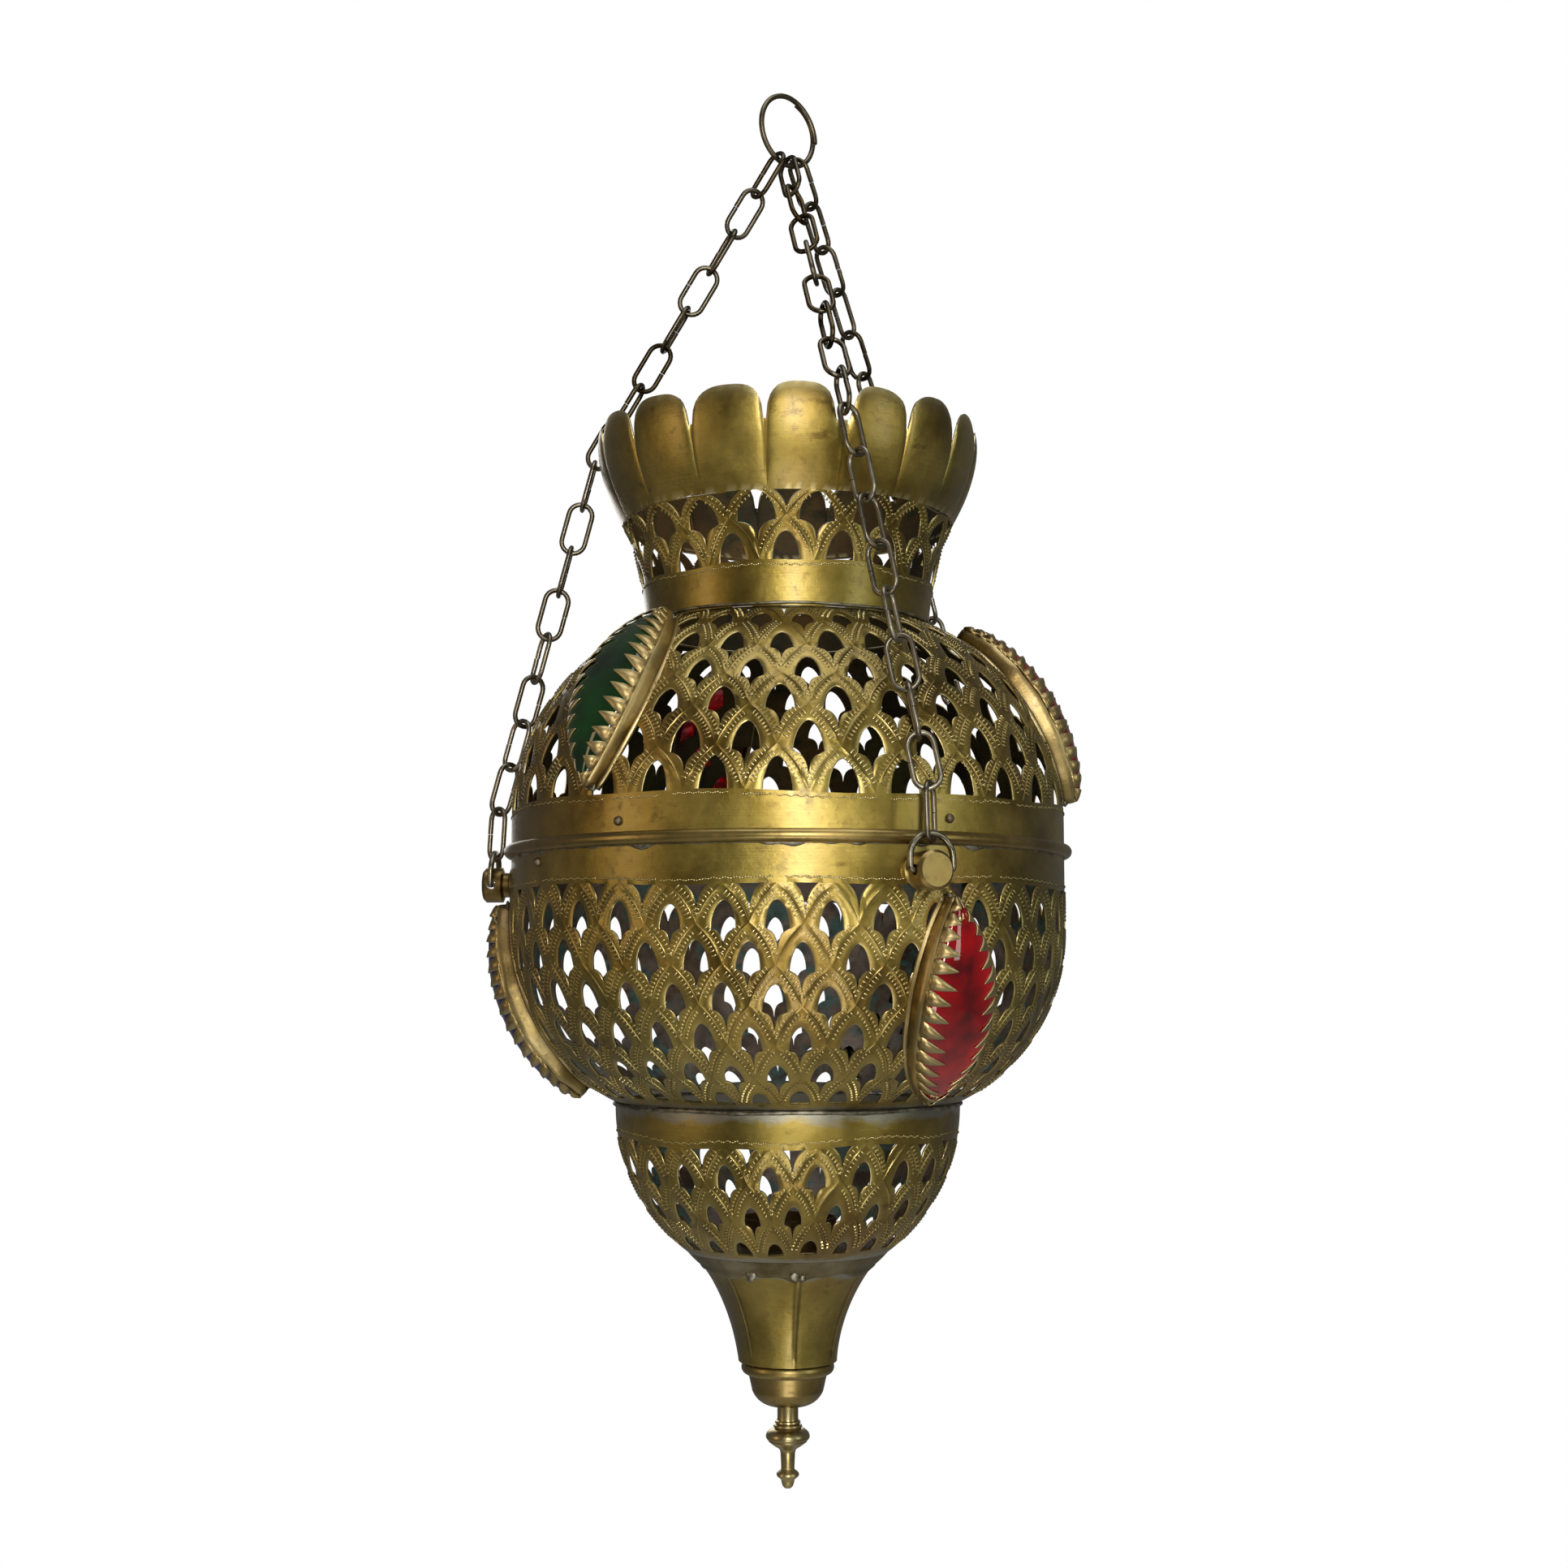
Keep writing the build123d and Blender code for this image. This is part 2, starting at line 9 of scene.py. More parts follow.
import bmesh
import bpy
import numpy as np
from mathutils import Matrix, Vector


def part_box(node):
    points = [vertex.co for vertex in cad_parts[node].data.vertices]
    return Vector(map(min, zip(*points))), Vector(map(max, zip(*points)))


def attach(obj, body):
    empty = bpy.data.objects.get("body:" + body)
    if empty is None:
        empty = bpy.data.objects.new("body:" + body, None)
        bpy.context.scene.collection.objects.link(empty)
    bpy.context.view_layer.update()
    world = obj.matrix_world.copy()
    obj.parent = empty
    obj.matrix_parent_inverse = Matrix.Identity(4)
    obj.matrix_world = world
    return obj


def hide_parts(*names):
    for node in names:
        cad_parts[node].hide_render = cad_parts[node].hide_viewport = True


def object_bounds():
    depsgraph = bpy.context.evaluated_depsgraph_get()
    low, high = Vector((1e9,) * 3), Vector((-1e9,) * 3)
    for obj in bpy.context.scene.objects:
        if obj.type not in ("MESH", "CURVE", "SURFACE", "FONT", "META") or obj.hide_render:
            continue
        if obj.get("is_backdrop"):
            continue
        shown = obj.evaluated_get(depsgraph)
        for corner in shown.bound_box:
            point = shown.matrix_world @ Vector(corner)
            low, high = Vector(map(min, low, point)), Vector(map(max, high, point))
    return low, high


MM = 0.001
SHEET = 0.8  # thickness of the sheet metal
BODY = "lantern"
SIDES = ("left", "front", "back")
OUTSIDE, INSIDE = 0, 1

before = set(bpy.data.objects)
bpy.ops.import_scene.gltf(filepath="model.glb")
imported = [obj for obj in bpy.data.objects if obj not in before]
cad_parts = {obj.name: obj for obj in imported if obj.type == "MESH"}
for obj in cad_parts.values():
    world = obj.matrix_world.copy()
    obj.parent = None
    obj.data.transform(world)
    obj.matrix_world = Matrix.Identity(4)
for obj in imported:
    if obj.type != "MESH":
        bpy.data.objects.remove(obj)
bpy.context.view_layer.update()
rng = np.random.default_rng(19)


# ---- reading the frame
def cad(name):
    """Vertices and vertex normals of a CAD node."""
    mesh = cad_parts[name].data
    found = []
    for kind in ("co", "normal"):
        values = np.empty(3 * len(mesh.vertices))
        mesh.vertices.foreach_get(kind, values)
        found.append(values.reshape(-1, 3))
    return found[0] / MM, found[1]


def solids(name):
    """The separate solids of a CAD node, each as an array of points."""
    work = bmesh.new()
    work.from_mesh(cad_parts[name].data)
    bmesh.ops.remove_doubles(work, verts=work.verts, dist=2e-6)
    seen, groups = set(), []
    for start in work.verts:
        if start in seen:
            continue
        stack, members = [start], []
        seen.add(start)
        while stack:
            vert = stack.pop()
            members.append(vert.co / MM)
            for edge in vert.link_edges:
                other = edge.other_vert(vert)
                if other not in seen:
                    seen.add(other)
                    stack.append(other)
        groups.append(np.array(members))
    work.free()
    return groups


def box(name):
    """Lowest and highest corner of a CAD node."""
    return (np.array(corner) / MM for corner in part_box(name))


def axes_of(points):
    """Middle of a solid's extents, its axes, the longest first, and the spans along them."""
    centre = points.mean(axis=0)
    axes = np.linalg.svd(points - centre, full_matrices=False)[2]
    spans = (points - centre) @ axes.T
    middle = centre + ((spans.max(axis=0) + spans.min(axis=0)) / 2) @ axes
    return middle, axes, spans.max(axis=0) - spans.min(axis=0)


def azimuth_of(points):
    """Azimuth of the middle of some points."""
    centre = points.mean(axis=0)
    return degrees(atan2(centre[0], -centre[1]))


def around(radius, turn, z):
    """Points at angles round the body's axis."""
    return np.stack(np.broadcast_arrays(radius * np.sin(turn), -radius * np.cos(turn), z), axis=-1)


class Meridian:
    """Outer face of a turned piece, walked from its top by length s along its section."""

    def __init__(self, section):
        section = np.array(section, float)
        length = np.concatenate([[0], np.cumsum(np.hypot(*np.diff(section, axis=0).T))])
        slope = np.gradient(section, length, axis=0)
        self.s = np.linspace(0, length[-1], 900)
        index = np.clip(np.searchsorted(length, self.s, "right") - 1, 0, len(length) - 2)
        gap = (length[index + 1] - length[index])[:, None]
        t = (self.s[:, None] - length[index][:, None]) / gap
        start, end = section[index], section[index + 1]
        self.line = (
            (2 * t**3 - 3 * t**2 + 1) * start
            + (t**3 - 2 * t**2 + t) * gap * slope[index]
            + (3 * t**2 - 2 * t**3) * end
            + (t**3 - t**2) * gap * slope[index + 1]
        )
        along = np.gradient(self.line, self.s, axis=0)
        along /= np.hypot(along[:, 0], along[:, 1])[:, None]
        self.normal = np.stack([-along[:, 1], along[:, 0]], axis=1)
        self.length = self.s[-1]

    @classmethod
    def of_node(cls, name, spacing=1.5):
        """The meridian of a CAD node, from those of its points that face outwards."""
        points, normals = cad(name)
        radius = np.hypot(points[:, 0], points[:, 1])
        outward = (points[:, :2] * normals[:, :2]).sum(axis=1) / radius
        face = np.stack([radius, points[:, 2]], axis=1)[outward > 0.12]
        face = face[np.argsort(-face[:, 1])]
        kept = [face[0]]
        for point in face[1:]:
            if np.hypot(*(point - kept[-1])) > spacing:
                kept.append(point)
        kept[-1] = face[-1]
        return cls(kept)

    def s_at(self, z):
        return float(np.interp(-z, -self.line[:, 1], self.s))

    def radius(self, s):
        return np.interp(s, self.s, self.line[:, 0])

    def at(self, azimuth, s, lift=0.0):
        """Points at an azimuth and a length, lifted off the face."""
        r = np.interp(s, self.s, self.line[:, 0]) + lift * np.interp(s, self.s, self.normal[:, 0])
        z = np.interp(s, self.s, self.line[:, 1]) + lift * np.interp(s, self.s, self.normal[:, 1])
        return around(r, np.radians(azimuth), z)


# ---- making pieces
class Sheet:
    """Collects grids of points into one mesh, with a tin value and a value of wear and painted light at
    each point.
    """

    def __init__(self):
        self.points, self.faces, self.kinds, self.worn, self.tin = [], [], [], [], []
        self.count = 0

    def grid(self, points, kind=OUTSIDE, worn=0.0, tin=0.0, closed=False):
        """Adds a grid of points, rows by columns; closed joins the last column to the first."""
        points = np.asarray(points, float)
        rows, columns = points.shape[:2]
        index = np.arange(rows * columns).reshape(rows, columns) + self.count
        if closed:
            index = np.concatenate([index, index[:, :1]], axis=1)
        quads = np.stack([index[:-1, :-1], index[:-1, 1:], index[1:, 1:], index[1:, :-1]], axis=-1)
        self.points.append(points.reshape(-1, 3))
        self.faces.append(quads.reshape(-1, 4))
        self.kinds.append(np.full(len(self.faces[-1]), kind))
        for store, value in ((self.worn, worn), (self.tin, tin)):
            store.append(np.broadcast_to(value, (rows, columns)).reshape(-1))
        self.count += rows * columns

    def metal(self, line, azimuth, s, lift, worn=0.0, tin=0.0, edge_worn=0.0):
        """Adds a stretch of sheet on a meridian: both faces, and the edges at its ends."""
        self.grid(line.at(azimuth, s, lift), OUTSIDE, worn, tin)
        self.grid(line.at(azimuth, s, lift - SHEET), INSIDE)
        for row in (-1, 0):
            depth = np.stack([lift[row], lift[row] - SHEET])
            self.grid(line.at(azimuth[[row, row]], s[[row, row]], depth), OUTSIDE, edge_worn)

    def build(self, name, materials, slot, replaces=(), body=BODY, angle=38, weld=0.01):
        """Makes the mesh, smooth up to an angle and welded within a distance, and its piece."""
        mesh = bpy.data.meshes.new(name)
        points = np.concatenate(self.points) * MM
        mesh.from_pydata(points.tolist(), [], np.concatenate(self.faces).tolist())
        for key, store in (("worn", self.worn), ("tin", self.tin)):
            layer = mesh.attributes.new(key, "FLOAT", "POINT")
            layer.data.foreach_set("value", np.concatenate(store).astype(np.float32))
        mesh.polygons.foreach_set("material_index", np.concatenate(self.kinds).astype(np.int32))
        work = bmesh.new()
        work.from_mesh(mesh)
        bmesh.ops.remove_doubles(work, verts=work.verts, dist=weld * MM)
        bmesh.ops.recalc_face_normals(work, faces=work.faces)
        work.to_mesh(mesh)
        work.free()
        for item in materials:
            mesh.materials.append(item)
        mesh.polygons.foreach_set("use_smooth", [True] * len(mesh.polygons))
        mesh.set_sharp_from_angle(angle=radians(angle))
        mesh.update()
        piece = bpy.data.objects.new(name, mesh)
        bpy.context.scene.collection.objects.link(piece)
        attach(piece, body)
        if replaces:
            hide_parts(*replaces)
        return piece


def tube(path, radius, sides=10, closed=False):
    """Rings of points round a path, which may be closed; their frame is carried along it."""
    path = np.asarray(path, float)
    if closed:
        along = np.roll(path, -1, axis=0) - np.roll(path, 1, axis=0)
    else:
        along = np.gradient(path, axis=0)
    along /= np.linalg.norm(along, axis=1)[:, None]
    side = np.cross(along[0], [0.31, 0.52, 0.8])
    turn = np.linspace(0, 2 * pi, sides, endpoint=False)
    radius = np.broadcast_to(radius, len(path))
    rings = []
    for point, forward, size in zip(path, along, radius):
        side = side - forward * (side @ forward)
        side /= np.linalg.norm(side)
        up = np.cross(forward, side)
        rings.append(point + size * (np.outer(np.cos(turn), side) + np.outer(np.sin(turn), up)))
    return np.array(rings)


def capped(rings):
    """Closes both ends of a tube's rings on their middles."""
    first = np.broadcast_to(rings[0].mean(axis=0), rings[0].shape)
    last = np.broadcast_to(rings[-1].mean(axis=0), rings[-1].shape)
    return np.concatenate([[first], rings, [last]])


# ---- materials
def connect(tree, shader_node, inputs):
    """Links a shader node's inputs to sockets, or sets them to values."""
    for key, value in inputs.items():
        if isinstance(value, bpy.types.NodeSocket):
            tree.links.new(value, shader_node.inputs[key])
        else:
            shader_node.inputs[key].default_value = value


def add_node(tree, kind, inputs, **settings):
    """Adds a shader node of a kind, set up and connected."""
    made = tree.nodes.new("ShaderNode" + kind)
    for key, value in settings.items():
        setattr(made, key, value)
    connect(tree, made, inputs)
    return made


def rgb(*parts):
    """A colour given as 0-255 screen values."""
    linear = [((p / 255 + 0.055) / 1.055) ** 2.4 if p > 10 else p / 3294.6 for p in parts]
    return (*linear, 1.0)


class Finish:
    """One material: a principled surface and the textures that drive it."""

    def __init__(self, name):
        self.material = bpy.data.materials.new(name)
        self.material.use_nodes = True
        self.tree = self.material.node_tree
        self.tree.nodes.clear()
        self.surface = add_node(self.tree, "BsdfPrincipled", {})
        add_node(self.tree, "OutputMaterial", {"Surface": self.surface.outputs["BSDF"]})

    def add(self, kind, inputs, **settings):
        return add_node(self.tree, kind, inputs, **settings).outputs

    def here(self, scale=(1, 1, 1)):
        """Object coordinates, stretched."""
        source = self.add("TexCoord", {})["Object"]
        return self.add("Mapping", {"Vector": source, "Scale": scale})[0]

    def noise(self, vector, scale, detail=4.0, roughness=0.55):
        values = {"Vector": vector, "Scale": scale, "Detail": detail, "Roughness": roughness}
        return self.add("TexNoise", values)[0]

    def stretch(self, value, low, high, to_low=0.0, to_high=1.0):
        """Maps the range low to high onto another."""
        values = {"Value": value, "From Min": low, "From Max": high, "To Min": to_low, "To Max": to_high}
        return self.add("MapRange", values)[0]

    def blend(self, factor, first, second):
        return self.add("Mix", {0: factor, 6: first, 7: second}, data_type="RGBA")[2]

    def attribute(self, name):
        return self.add("Attribute", {}, attribute_name=name)["Fac"]

    def plus(self, first, second):
        return self.add("Math", {0: first, 1: second}, operation="ADD")[0]

    def times(self, first, second):
        return self.add("Math", {0: first, 1: second}, operation="MULTIPLY")[0]

    def cover(self, tone, inputs, height, strength, distance=0.0006):
        """Sets the surface's colour and other inputs, with a bump, and gives the material."""
        bump = self.add("Bump", {"Height": height, "Strength": strength, "Distance": distance})[0]
        connect(self.tree, self.surface, {"Base Color": tone, "Normal": bump, **inputs})
        return self.material


def brass(name, light, dark, stain, roughness=0.36, brush=2400.0, stained=0.62, bump=0.25, metallic=1.0,
          coat=0.5):
    """Aged brass: cloudy tone, brown stains, brushed rings, tinned places, and wear with painted light."""
    made = Finish(name)
    here = made.here()
    clouds = made.noise(here, 26.0, 5.0, 0.6)
    broad = made.noise(here, 11.0, 3.0)
    specks = made.noise(here, 210.0, 6.0, 0.7)
    patches = made.noise(made.here((1, 1, 1.7)), 58.0, 5.0, 0.62)
    brushed = made.noise(made.here((14, 14, brush)), 1.0, 3.0, 0.6)
    worn = made.attribute("worn")
    tone = made.blend(made.stretch(clouds, 0.36, 0.66), dark, light)
    for factor, colour in (
        (made.stretch(broad, 0.5, 0.66, 0.0, 0.5), rgb(128, 88, 30)),
        (made.stretch(broad, 0.46, 0.34, 0.0, 0.35), rgb(112, 112, 58)),
        (made.stretch(specks, 0.56, 0.74, 0.0, 0.55), stain),
        (made.stretch(patches, stained, stained + 0.1, 0.0, 0.75), stain),
        (made.stretch(brushed, 0.3, 0.7, 0.0, 0.22), dark),
        # Above 0: rubbed bright brass with a painted highlight; below 0: painted shade in hollows and
        # creases.
        (made.stretch(worn, 0.0, 1.0, 0.0, 0.75), rgb(236, 222, 170)),
        (made.stretch(worn, 0.0, -1.0, 0.0, 0.8), rgb(44, 30, 10)),
    ):
        tone = made.blend(factor, tone, colour)
    smear = made.plus(made.attribute("tin"), made.stretch(patches, 0.3, 0.7, -0.35, 0.35))
    tone = made.blend(made.stretch(smear, 0.42, 0.75), tone, rgb(150, 146, 130))
    rough = made.plus(made.stretch(clouds, 0.3, 0.7, roughness - 0.07, roughness + 0.1),
                      made.stretch(specks, 0.5, 0.8, 0.0, 0.16))
    height = made.plus(made.times(brushed, 0.5), specks)
    height = made.plus(height, made.times(made.noise(here, 60.0, 2.0), 2.2))
    inputs = {"Metallic": metallic, "Roughness": rough, "Coat Weight": coat, "Coat Roughness": 0.26}
    return made.cover(tone, inputs, height, bump)


def plain_metal(name, light, dark, roughness, scale=180.0, bump=0.25, stain=None):
    """Grey or brown metal with a mottled tone, a slightly lumpy skin, and rubbed pale places with a painted
    highlight.
    """
    made = Finish(name)
    here = made.here()
    mottle = made.noise(here, scale, 5.0, 0.65)
    broad = made.noise(here, scale / 6, 3.0)
    tone = made.blend(made.stretch(mottle, 0.35, 0.65), dark, light)
    tone = made.blend(made.stretch(broad, 0.45, 0.7, 0.0, 0.6), tone, stain or dark)
    # Above 0 the value paints pale rubbed metal with a painted highlight.
    worn = made.stretch(made.attribute("worn"), 0.0, 1.0, 0.0, 0.8)
    tone = made.blend(worn, tone, rgb(214, 208, 190))
    rough = made.stretch(mottle, 0.3, 0.7, roughness - 0.08, roughness + 0.12)
    return made.cover(tone, {"Metallic": 1.0, "Roughness": rough}, mottle, bump, 0.0005)


def glass(name, colour, deep, transmission):
    """Moulded coloured glass, uneven in depth, with seeds and a wavy glossy skin."""
    made = Finish(name)
    here = made.here()
    depth = made.noise(here, 48.0, 3.0)
    tone = made.blend(made.stretch(depth, 0.35, 0.7), deep, colour)
    seeds = made.noise(here, 520.0, 2.0)
    waves = made.plus(made.times(depth, 3.0), made.times(seeds, 0.25))
    inputs = {"Roughness": 0.06, "IOR": 1.5, "Transmission Weight": transmission,
              "Coat Weight": 0.6, "Coat Roughness": 0.03}
    return made.cover(tone, inputs, waves, 0.1)


SHEET_BRASS = brass("aged_sheet_brass", rgb(176, 154, 78), rgb(120, 100, 32), rgb(78, 54, 16))
# Inner faces of the dome, crown, petals and cone, and the candle holder: brass darkened as painted shade.
INSIDE_BRASS = brass("shaded_inside_brass", rgb(84, 72, 42), rgb(34, 28, 12), rgb(36, 46, 26),
                     roughness=0.62, stained=0.54, bump=0.4, metallic=0.6, coat=0.0)
CLOUDED_BRASS = brass("clouded_brass", rgb(190, 172, 160), rgb(76, 60, 42), rgb(88, 142, 140),
                      roughness=0.6, stained=0.5, bump=0.4, metallic=0.2, coat=0.0)
TURNED_BRASS = brass("turned_brass", rgb(168, 144, 84), rgb(118, 98, 46), rgb(70, 50, 20),
                     roughness=0.32, brush=700.0, bump=0.03)
BEZEL_BRASS = brass("bezel_brass", rgb(188, 164, 106), rgb(130, 108, 56), rgb(82, 56, 24),
                    roughness=0.38, brush=300.0, bump=0.3)
TIN = plain_metal("tin_solder", rgb(160, 156, 142), rgb(92, 86, 70), 0.42, 260.0, 0.5)
COLLAR = plain_metal("tinned_brass", rgb(150, 140, 112), rgb(104, 92, 58), 0.36, 60.0, 0.2,
                     stain=rgb(122, 102, 52))
CHAIN = plain_metal("chain_steel", rgb(88, 74, 46), rgb(46, 35, 19), 0.32, 90.0, 0.1)
RING = plain_metal("ring_steel", rgb(98, 84, 50), rgb(54, 43, 23), 0.32, 90.0, 0.1)
BAIL = plain_metal("bail_steel", rgb(158, 152, 134), rgb(96, 88, 72), 0.3, 220.0, 0.2)
NUT = plain_metal("nut_steel", rgb(110, 102, 86), rgb(64, 54, 40), 0.5, 200.0, 0.4)
RIVET = plain_metal("rivet_iron", rgb(134, 126, 106), rgb(88, 76, 54), 0.5, 300.0, 0.5)
RED = glass("red_glass", rgb(196, 0, 14), rgb(70, 0, 6), 0.35)
GREEN = glass("green_glass", rgb(2, 58, 4), rgb(0, 10, 0), 0.2)
BLUE = glass("blue_glass", rgb(26, 20, 140), rgb(8, 6, 60), 0.45)


# ---- pierced lattice
STEPS = 7
# Loops from a window's edge out to its cell's outline: share of the way, lift, and wear with painted light.
# Rubbed bright with a painted highlight on the window's edge and the outline's ridge; painted shade in the
# groove before the ridge.
LOOPS = ((0.0, -0.25, 0.6), (0.08, 0.02, 0.1), (0.5, 0.06, 0.0), (0.88, -0.03, -0.2), (1.0, 0.32, 0.3))
# Plain bands: the window's edge rubbed bright with a painted highlight.
PLAIN = ((0.0, 0.0, 0.3), (1.0, 0.0, 0.0))
TICK_GAP = 1.45


def arch_side(t):
    """Middle line of an arm from a cell's corner up to its apex, in pitches and row heights."""
    bow = np.sin(pi * t)
    return 0.5 * (1 - t) + 0.045 * bow, t + 0.06 * bow


def window_side(up, down, half):
    """Right side of a window, apex to corner and corner to foot, in pitches and row heights."""
    corner = -0.26 * down
    share = np.linspace(0, 1, STEPS + 1)
    turn = share * pi / 2
    top_x = half * (0.9 * np.sin(turn) + 0.1 * share)
    top_y = corner + (up - corner) * (0.84 * np.cos(turn) + 0.16 * (1 - share))
    bow = np.sin(pi * share)
    foot_x = half * (1 - share) - 0.04 * bow
    foot_y = corner + (-down - corner) * share + 0.075 * bow
    return top_x, top_y, foot_x, foot_y


class Lattice:
    """Rows of staggered windows on a turned shell.

    rows are (height, up, down, half width): the height of the row's level, how far its windows
    reach up and down as shares of the gaps to the next levels, and their half width in pitches.
    The first row hangs below a plain band and the last stands on one. Start is the azimuth of the
    first column, wave the phase of the hand-cut unevenness, and tin_top and tin_foot are how far
    solder runs in from the ends.
    """

    def __init__(self, meridian, columns, rows, start, wave, tin_top=0.0, tin_foot=0.0):
        self.meridian, self.columns, self.rows = meridian, columns, rows
        self.start, self.wave = start, wave
        self.tin_top, self.tin_foot = tin_top, tin_foot
        self.pitch = 360 / columns
        self.levels = [meridian.s_at(row[0]) for row in rows]
        self.seams = start + np.linspace(0, 360, columns * 2 * STEPS + 1)
        self.sheet = Sheet()

    def centre(self, row, column):
        return self.start + (column + 0.5 * (row % 2)) * self.pitch

    def gaps(self, row):
        """Lengths from a row's level to the ones above and below, 0 where there is none."""
        above = self.levels[row] - self.levels[row - 1] if row else 0.0
        below = self.levels[row + 1] - self.levels[row] if row + 1 < len(self.rows) else 0.0
        return above, below

    def warp(self, azimuth, s):
        """Hand-cut unevenness: rows drift up and down, and columns lean a little."""
        calm = np.clip(np.minimum(s, self.meridian.length - s) / 6.0, 0, 1)
        turn = np.radians(azimuth)
        drift = 0.8 * np.sin(3 * turn + self.wave) + 0.5 * np.sin(8 * turn + 2.3 * self.wave + s / 19)
        lean = 0.35 * np.sin(5 * turn + self.wave + s / 23)
        return azimuth + lean * calm, s + drift * calm

    def put(self, azimuth, s, lift, kind=OUTSIDE, worn=0.0):
        """Adds a warped grid of the shell's points, tinned near the ends that are soldered."""
        azimuth, s = self.warp(azimuth, s)
        tin = np.zeros_like(s)
        if self.tin_top:
            tin = np.maximum(tin, 1 - s / self.tin_top)
        if self.tin_foot:
            tin = np.maximum(tin, 1 - (self.meridian.length - s) / self.tin_foot)
        self.sheet.grid(self.meridian.at(azimuth, s, lift), kind, worn, np.clip(tin, 0, 1))

    def cell(self, row):
        """Quarters of one cell: outlines of its window and of itself, and the loops between them.

        Outlines run from the apex round to the foot, in pitches across and lengths along the
        shell. Straight plain edges stand in for the upper quarters of the first row and for the
        lower ones of the last.
        """
        level, (above, below) = self.levels[row], self.gaps(row)
        size = 1 + 0.09 * rng.uniform(-1, 1)
        shift = 0.022 * rng.uniform(-1, 1)
        skew = 0.035 * rng.uniform(-1, 1)
        up, down, half = (size * value for value in self.rows[row][1:])
        top_x, top_y, foot_x, foot_y = window_side(up, down, half)
        share = np.linspace(0, 1, STEPS + 1)
        arch_x, arch_y = arch_side(1 - share)
        flat = np.full(STEPS + 1, level)
        if not above:
            upper = half * share, flat + 0.02, 0.5 * share, flat, PLAIN
            foot_y = 0.06 * np.sin(pi * share) - down * share
        elif below:
            rise = top_y * np.where(top_y > 0, above, below)
            upper = top_x, level - rise, arch_x, level - arch_y * above, LOOPS
        else:
            rise = (top_y - top_y[-1]) / (top_y[0] - top_y[-1]) * up * above
            upper = top_x, level - rise, arch_x, level - arch_y * above, LOOPS
        if below:
            foot_y[-1] -= 0.1
            lower = foot_x, level - foot_y * below, 0.5 - arch_x, level + (1 - arch_y) * below, LOOPS
        else:
            lower = half * share[::-1], flat, 0.5 * share[::-1], flat, PLAIN
        for window_x, window_s, cell_x, cell_s, loops in (upper, lower):
            lean = skew * (level - window_s) / max(above, below)
            for mirror in (1, -1):
                yield mirror * window_x + shift + lean, window_s, mirror * cell_x, cell_s, loops

    def weave(self):
        """Lays the sheet between all windows and their cells' outlines."""
        for row in range(len(self.rows)):
            for column in range(self.columns):
                centre = self.centre(row, column)
                for window_x, window_s, cell_x, cell_s, loops in self.cell(row):
                    window = centre + self.pitch * window_x, window_s
                    self.strip(*window, centre + self.pitch * cell_x, cell_s, loops)

    def strip(self, window_azimuth, window_s, cell_azimuth, cell_s, loops):
        """Both faces of the sheet from a window's edge to its cell's outline, and the edge."""
        share, lift, worn = (np.array(column)[:, None] for column in zip(*loops))
        azimuth = window_azimuth + share * (cell_azimuth - window_azimuth)
        s = window_s + share * (cell_s - window_s)
        fade = np.where(share == 1.0, np.sin(pi * np.linspace(0, 1, STEPS + 1)) ** 0.6, 1.0)
        self.put(azimuth, s, lift * fade, OUTSIDE, worn * fade)
        self.put(azimuth[[0, -1]], s[[0, -1]], -SHEET, INSIDE)
        # The cut edge: rubbed bright with a painted highlight along its outer corner, painted shade along
        # its inner one.
        edge_lift, edge_worn = np.array([[-0.2], [-SHEET]]), np.array([[0.4], [-0.6]])
        self.put(azimuth[[0, 0]], s[[0, 0]], edge_lift, OUTSIDE, edge_worn)

    def hoop(self, lengths, lift, kind=OUTSIDE):
        """A strip right round the shell, matched to the lattice's points."""
        azimuth, s = np.meshgrid(self.seams, lengths)
        self.put(azimuth, s, lift, kind)

    def shell(self, name, inside, top):
        """The lattice, its plain bands and edges, in place of the CAD node of that name."""
        foot = self.meridian.length
        self.weave()
        for start, end in ((top, self.levels[0]), (self.levels[-1], foot)):
            if end - start > 0.3:
                self.hoop(np.linspace(start, end, max(2, round((end - start) / 3)) + 1), 0.0)
                self.hoop((start, end), -SHEET, INSIDE)
        for end in (top, foot):
            self.hoop((end, end), np.array([[0.0], [-SHEET]]))
        self.sheet.build(f"{name}_pierced", [SHEET_BRASS, inside], "sheet_brass", [name])

    def ticks(self, chasing):
        """Punched ticks along the arms of every arch; a few arms are left plain."""
        for row in range(1, len(self.rows)):
            for column in range(self.columns):
                for mirror in (1, -1):
                    if rng.random() >= 0.07:
                        self.arm(chasing, row, self.centre(row, column), mirror)

    def arm(self, chasing, row, centre, mirror):
        """Two rows of ticks, one on each side of an arm's middle line."""
        level, above = self.levels[row], self.gaps(row)[0]
        width = radians(self.pitch) * float(self.meridian.radius(level - above / 2))
        widest = max(self.rows[row][3], self.rows[row - 1][3])
        reach = min(3.2, 0.08 * width + 0.1 * above, 0.6 * (0.5 - widest) * width - 0.6)
        first, last = 0.15 + 0.06 * rng.random(), 0.84 - 0.08 * rng.random()
        count = max(3, int(hypot(0.5 * width, above) * (last - first) / TICK_GAP))
        t = np.linspace(first, last, count)
        x, y = arch_side(t)
        ahead_x, ahead_y = arch_side(t + 0.01)
        run_x, run_y = (ahead_x - x) * width, (ahead_y - y) * above
        size = np.hypot(run_x, run_y)
        height = 0.36 + 0.24 * rng.random()
        for side in (1, -1):
            ends = []
            for offset in (0.5 * side, (reach - 0.25 * rng.random()) * side):
                azimuth = centre + mirror * self.pitch * (x + offset * run_y / size / width)
                ends.append(self.warp(azimuth, level - y * above + offset * run_x / size))
            chasing.add(*ends, 0.45, height)


